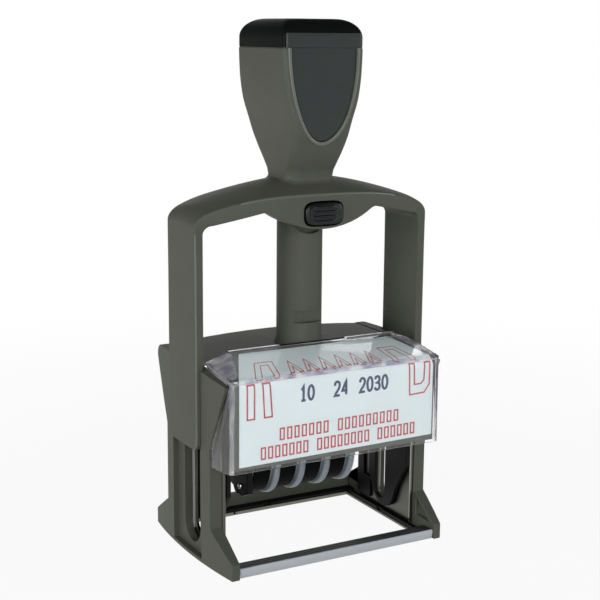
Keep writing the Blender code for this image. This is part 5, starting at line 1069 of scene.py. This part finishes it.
def make_print():
    """Plain numerals for the date, hollow bars and chevrons round the fold, two rows of empty letter boxes."""
    strokes = []
    for text, start in (("10", -13.9), ("24", -1.9), ("2030", 7.2)):
        for i, digit in enumerate(text):
            for points, closed in DIGITS[digit]:
                left = start + i * DIGIT_PITCH
                placed = [(left + px * DIGIT_WIDTH, DATE_LINE + ps * DIGIT_HEIGHT) for px, ps in points]
                strokes.append(ribbon(placed, DIGIT_STROKE, closed))
    print_on_card("date_numerals", strokes, BLUE_INK)
    fold = CARD_LENGTHS[CARD_FRONT_STEPS]
    top = fold + 1.6
    bars = [
        [(-32.0, BAR_LINE), (-32.0, top), (-29.6, top), (-29.6, BAR_LINE)],
        [(-26.2, BAR_LINE), (-26.8, top), (-24.4, top), (-23.6, BAR_LINE)],
        [(25.6, top), (25.9, 14.8), (31.4, 15.0), (33.3, 17.6), (33.4, top), (31.4, top), (31.2, 19.4),
         (30.2, 18.2), (27.6, 18.1), (27.4, top)],
    ]
    red = [ribbon(bar, BAR_STROKE, True) for bar in bars]
    for side in (-1, 1):
        sloping = [(side * 28.6, fold + 2.6), (side * 25.0, fold + 11.2), (side * 19.0, fold + 11.2),
                   (side * 20.4, fold + 2.6), (side * 22.2, fold + 2.6), (side * 21.2, fold + 9.4),
                   (side * 23.8, fold + 9.4), (side * 26.4, fold + 2.6)]
        red.append(ribbon(sloping, TOP_BAR_STROKE, True))
    for i in range(CHEVRONS):
        x = CHEVRON_START + CHEVRON_PITCH * i
        low, high = fold + 3.4, fold + 10.4
        chevron = [(x, low), (x + 2.2, high), (x + 4.4, low), (x + 3.1, low), (x + 2.2, low + 3.6), (x + 1.3, low)]
        red.append(ribbon(chevron, CHEVRON_STROKE, True))
    for base, pitch, left, words in ((6.9, 2.56, -20.8, (7, 9)), (1.6, 2.44, -27.2, (7, 8, 6))):
        x = left
        for word in words:
            for _ in range(word):
                right, top = x + BOX_WIDTH, base + BOX_HEIGHT
                red.append(ribbon([(x, base), (x, top), (right, top), (right, base)], BAR_STROKE, True))
                x += pitch
            x += pitch
    print_on_card("card_bars", red, RED_INK)


# ---------------------------------------------------------------- date wheels

def make_wheel(i):
    """Date wheel: a drum for the band, and a rim with fine teeth along its right edge."""
    low, high = (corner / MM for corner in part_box(f"date_wheel_{i}"))
    right, left = high.x, high.x - RIM_WIDTH
    rings = []
    profile = [
        (low.x, WHEEL_BORE_RADIUS, 0), (low.x, DRUM_RADIUS, 0), (left, DRUM_RADIUS, 0), (left, RIM_RADIUS - 0.55, 0),
        (left + 0.25, RIM_RADIUS - 0.2, 0), (left + 0.9, RIM_RADIUS - 0.08, 0), (right - 0.95, RIM_RADIUS - 0.08, 0),
        (right - 0.8, RIM_RADIUS, 1), (right - 0.12, RIM_RADIUS, 1), (right, RIM_RADIUS - 0.35, 1),
        (right, RIM_RADIUS - 1.0, 0), (right - 0.3, RIM_RADIUS - 1.3, 0), (right - 0.3, 4.0, 0), (right, 3.8, 0),
        (right, WHEEL_BORE_RADIUS, 0),
    ]
    for x, radius, toothed in profile:
        ring = []
        for k in range(2 * RIM_TEETH):
            angle = pi * k / RIM_TEETH
            r = radius - RIM_TOOTH_DEPTH * toothed * (k % 2)
            ring.append((x, r * cos(angle), WHEEL_CENTRE_Z + r * sin(angle)))
        rings.append(ring)
    wheel = loft(f"date_wheel_{i}_rim", rings, closed=True)
    smooth(wheel, 30)
    return dress(wheel, f"date_dial_{i}", PALE_ACETAL, "wheel_grey", f"date_wheel_{i}")


# ---------------------------------------------------------------- frame's own nodes

STEEL_STRIPS = [
    # name, outline's corners in the two other directions, axis, low, high, finish
    ("rear_strip_left", (21.0, 0.25), (21.4, 1.35), "X", -32.1, -13.2, "dull"),
    ("rear_strip_right", (21.0, 0.25), (21.4, 1.35), "X", -12.4, 32.1, "dull"),
    ("right_strip", (31.95, 0.25), (32.3, 0.95), "Y", -22.4, 20.9, "dull"),
    # The bright strips carry a painted glint: steel edges whose light colour stands in for the shine on them
    ("left_slot_edge", (-35.38, 4.4), (-35.08, 5.7), "Z", 5.6, 43.0, "bright"),
    ("right_slot_edge", (35.08, 4.4), (35.38, 5.7), "Z", 8.0, 43.0, "bright"),
    ("right_plate_edge", (33.88, -15.85), (34.25, -15.68), "Z", 3.6, 33.0, "bright"),
]


def make_strips():
    """Bare steel edges: along the rails' lower fronts, down the slots and at the front of the side plates; those down
    the slots and at the plates' front are light in colour, a painted glint.
    """
    for name, low_corner, high_corner, axis, low, high, state in STEEL_STRIPS:
        strip = slab(name, rectangle(low_corner, high_corner), axis, low, high)
        soften(strip, 0.05, 2)
        smooth(strip)
        dress(strip, "base", STEEL_EDGE_GLINT if state == "bright" else DULL_EDGE, "steel")


def make_rear_guides():
    """Black plates on the side plates behind the cam guides, notched at their upper front."""
    outline = [(7.4, 3.7), (15.5, 3.7), (15.5, 50.0), (11.7, 50.0), (11.7, 11.2), (7.4, 11.2)]
    for side, name in ((-1, "left_rear_guide"), (1, "right_rear_guide")):
        guide = slab(name, outline, "X", *sorted((side * 33.0, side * 33.88)))
        soften(guide, 0.15, 2)
        smooth(guide)
        dress(guide, "base", BLACK_NYLON, "black_plastic")


def make_end_bracket():
    """Stepped end of the wheel set's frame, with the bright rivet that holds the axle."""
    outline = [
        (-12.6, 30.0), (-12.6, 20.4), (-8.6, 18.6), (-6.8, 18.6), (-6.8, 19.8), (-5.6, 19.8), (-5.4, 18.4),
        (-3.6, 18.9), (-2.6, 20.0), (-2.6, 22.4), (4.4, 24.0), (4.4, 30.0),
    ]
    bracket = slab("wheel_end_bracket", outline, "X", -24.9, -23.0)
    soften(bracket, 0.2, 2)
    smooth(bracket)
    dress(bracket, "die_unit", BLACK_NYLON, "black_plastic")
    rivet = turned("wheel_end_rivet", "X", (-7.2, 21.7), [
        (-23.5, 0.9), (-25.1, 0.9), (-25.35, 0.7), (-25.5, 0.35), (-25.52, 0.1),
    ], 24)
    smooth(rivet, 40)
    dress(rivet, "die_unit", DRAWN_STEEL, "steel")


def make_front_bar():
    """Extruded front bar with a bowed face and round nose, and the ribbed black inlay in its top."""
    front, back, top, nose = BAR_FRONT_Y, BAR_BACK_Y, BAR_TOP_Z, BAR_NOSE_RADIUS
    land, floor = front + BAR_LAND, top - BAR_GROOVE
    outline = [(front + BAR_BOW + 0.2, BAR_BOTTOM_Z)]
    outline += [(front + BAR_BOW * (1 - i / 8) ** 2, 0.1 + 2.6 * i / 8) for i in range(9)]
    outline += arc((front + nose, top - nose), nose, 180, 90)[1:]
    outline += [(land, top), (land, floor), (back, floor), (back, BAR_BOTTOM_Z)]
    bar = slab("front_bar_extrusion", outline, "X", -BAR_HALF_LENGTH, BAR_HALF_LENGTH)
    soften(bar, 0.06, 2, 50)
    smooth(bar, 40)
    dress(bar, "base", BAR_ALUMINIUM, "aluminium_bar", "front_bar")
    low, crest, trough = land + 0.05, top - 0.02, top - 0.35
    ribs = [(low, floor + 0.02), (low, top - 0.2)]
    pitch = (back - low) / INLAY_RIBS
    for i in range(INLAY_RIBS):
        start, end = low + pitch * i, low + pitch * (i + 1)
        ribs += [(start + 0.12, crest), (end - 0.42, crest), (end - 0.3, trough), (end - 0.06, trough)]
    ribs += [(back, trough), (back, floor + 0.02)]
    inlay = slab("front_bar_inlay", ribs, "X", 0.1 - BAR_HALF_LENGTH, BAR_HALF_LENGTH - 0.1)
    smooth(inlay, 25)
    dress(inlay, "base", BLACK_ABS_LIGHTENED, "black_plastic")


def make_spring():
    """Coiled return spring in the column and the grip."""
    low, high = SPRING_BOTTOM_Z + WIRE_RADIUS, SPRING_TOP_Z - WIRE_RADIUS
    rings = []
    steps = SPRING_STEPS_A_TURN * SPRING_TURNS
    for k in range(steps + 1):
        angle = 2 * pi * SPRING_TURNS * k / steps
        z = low + (high - low) * k / steps
        ring = []
        for i in range(WIRE_SIDES):
            turn = 2 * pi * i / WIRE_SIDES
            reach = SPRING_RADIUS + WIRE_RADIUS * cos(turn)
            ring.append((reach * cos(angle), reach * sin(angle), z + WIRE_RADIUS * sin(turn)))
        rings.append(ring)
    spring = loft("return_spring_coil", rings)
    smooth(spring, 60)
    dress(spring, "base", DRAWN_STEEL, "steel", "return_spring")
    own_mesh(spring)


NODE_FINISHES = [
    # nodes, finish, edge radius
    (("left_cheek", "right_cheek"), SATIN_ABS, 0.35),
    (("top_housing",), SATIN_ABS, 0.3),
    (("left_steel_plate", "right_steel_plate"), PLATED_STEEL, 0.2),
    (("left_cam_guide", "right_cam_guide"), BLACK_NYLON, 0.25),
    (("left_side_rail", "right_side_rail", "rear_rail"), BLACK_NYLON, 0.15),
    (("left_pad_rail", "right_pad_rail"), BLACK_NYLON, 0.12),
    (("rear_beam",), SATIN_ABS, 0.3),
    (("column_nut",), BLACK_NYLON, 0.2),
    (("wheel_axle", "left_pivot_pin", "right_pivot_pin"), DRAWN_STEEL, 0.0),
    (("pad_cassette",), BLACK_NYLON, 0.25),
    (("ink_pad",), INKED_FELT, 0.3),
    (("die_chassis", "band_anvil", "left_band_bracket", "right_band_bracket"), BLACK_NYLON, 0.15),
    (("text_plate",), DRAWN_STEEL, 0.1),
    (("rubber_die",), DIE_RUBBER, 0.06),
    (("date_band_1", "date_band_2", "date_band_3", "date_band_4"), BAND_RUBBER, 0.12),
]


def finish_nodes():
    """Give the CAD nodes that stay their finish and their softened edges."""
    for names, finish, radius in NODE_FINISHES:
        for name in names:
            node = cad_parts[name]
            node.data.materials.clear()
            node.data.materials.append(finish)
            node.data.shade_smooth()
            if radius:
                soften(node, radius)


# ---------------------------------------------------------------- stage

def make_camera():
    """Camera at the photograph's viewing angle."""
    azimuth, pitch, roll = (radians(a) for a in (VIEW_AZIMUTH, VIEW_PITCH, VIEW_ROLL))
    forward = Vector((sin(azimuth) * cos(pitch), cos(azimuth) * cos(pitch), -sin(pitch)))
    level = Vector((cos(azimuth), -sin(azimuth), 0))
    up = level.cross(forward)
    right = cos(roll) * level + sin(roll) * up
    top = cos(roll) * up - sin(roll) * level
    data = bpy.data.cameras.new("camera")
    data.lens = LENS
    data.sensor_width = SENSOR
    data.clip_start = 10 * MM
    camera = bpy.data.objects.new("camera", data)
    bpy.context.scene.collection.objects.link(camera)
    turn = Matrix((right, top, -forward)).transposed().to_4x4()
    camera.matrix_world = Matrix.Translation(Vector(EYE) * MM) @ turn
    bpy.context.scene.camera = camera


def make_light(name, place, target, size, power):
    """Soft rectangular lamp aimed at a point, in millimetres."""
    data = bpy.data.lights.new(name, "AREA")
    data.shape = "RECTANGLE"
    data.size, data.size_y = size[0] * MM, size[1] * MM
    data.energy = power
    lamp = bpy.data.objects.new(name, data)
    bpy.context.scene.collection.objects.link(lamp)
    aim = (Vector(target) - Vector(place)).to_track_quat("-Z", "Y")
    lamp.matrix_world = Matrix.Translation(Vector(place) * MM) @ aim.to_matrix().to_4x4()


def seen_directly(tree):
    """1 for rays that come from the camera, a mirror or a clear piece."""
    path = add(tree, "ShaderNodeLightPath")
    gloss = add(tree, "ShaderNodeMath", {"operation": "MAXIMUM"}, {
        0: path.outputs["Is Camera Ray"], 1: path.outputs["Is Glossy Ray"],
    })
    return add(tree, "ShaderNodeMath", {"operation": "MAXIMUM"}, {
        0: gloss.outputs[0], 1: path.outputs["Is Transmission Ray"],
    }).outputs[0]


def make_stage():
    """Pale floor that keeps a soft shadow, under a studio that is light round the sides and dimmer above."""
    size = 4000
    corners = [(x, y, 0) for x, y in rectangle((-size, -size), (size, size))]
    floor = make_object("floor", corners, [(0, 1, 2, 3)])
    paper = bpy.data.materials.new("white paper sweep")
    paper.use_nodes = True
    tree = paper.node_tree
    tree.nodes.clear()
    diffuse = add(tree, "ShaderNodeBsdfDiffuse", sockets={"Color": linear("#c9c9c7")})
    white = add(tree, "ShaderNodeEmission", sockets={"Color": (1, 1, 1, 1), "Strength": 1.0})
    place = add(tree, "ShaderNodeNewGeometry").outputs["Position"]
    away = add(tree, "ShaderNodeVectorMath", {"operation": "LENGTH"}, {0: place})
    reach = add(tree, "ShaderNodeMapRange", {"interpolation_type": "SMOOTHSTEP"}, {
        "Value": away.outputs["Value"], "From Min": 0.09, "From Max": 0.4, "To Min": 0.93, "To Max": 1.0,
    })
    share = add(tree, "ShaderNodeMath", {"operation": "MULTIPLY"}, {0: seen_directly(tree), 1: reach.outputs[0]})
    mixed = add(tree, "ShaderNodeMixShader", sockets={
        0: share.outputs[0], 1: diffuse.outputs[0], 2: white.outputs[0],
    })
    add(tree, "ShaderNodeOutputMaterial", sockets={"Surface": mixed.outputs[0]})
    floor.data.materials.append(paper)

    world = bpy.data.worlds.new("studio")
    bpy.context.scene.world = world
    world.use_nodes = True
    tree = world.node_tree
    tree.nodes.clear()
    way = add(tree, "ShaderNodeTexCoord").outputs["Generated"]
    split = add(tree, "ShaderNodeSeparateXYZ", sockets={0: way})
    height = add(tree, "ShaderNodeMapRange", {"interpolation_type": "SMOOTHSTEP"}, {
        "Value": split.outputs["Z"], "From Min": 0.1, "From Max": 0.75, "To Min": 0.22, "To Max": 0.08,
    })
    path = add(tree, "ShaderNodeLightPath")
    clear = add(tree, "ShaderNodeMath", {"operation": "MAXIMUM"}, {
        0: path.outputs["Is Camera Ray"], 1: path.outputs["Is Transmission Ray"],
    })
    strength = add(tree, "ShaderNodeMix", {"data_type": "FLOAT"}, {
        0: clear.outputs[0], 2: height.outputs[0], 3: 1.0,
    })
    back = add(tree, "ShaderNodeBackground", sockets={"Color": (1, 1, 1, 1), "Strength": strength.outputs[0]})
    add(tree, "ShaderNodeOutputWorld", sockets={"Surface": back.outputs[0]})

    aim = (0, 0, 80)
    make_light("left", (-800, -150, 240), aim, (360, 420), 3.2)
    make_light("front", (-220, -800, 240), aim, (420, 420), 2.8)
    make_light("right", (700, -420, 300), aim, (400, 400), 1.7)
    make_light("back", (360, 740, 330), aim, (600, 300), 0.7)


make_camera()
make_stage()
finish_nodes()
make_yoke()
make_button()
make_grip()
make_panel()
make_panel_rim()
make_cap()
make_column()
make_window()
make_card()
make_backing()
make_strips()
make_rear_guides()
make_end_bracket()
make_front_bar()
make_spring()
make_print()
for number in (1, 2, 3, 4):
    make_wheel(number)

bpy.context.scene.view_settings.view_transform = "Standard"
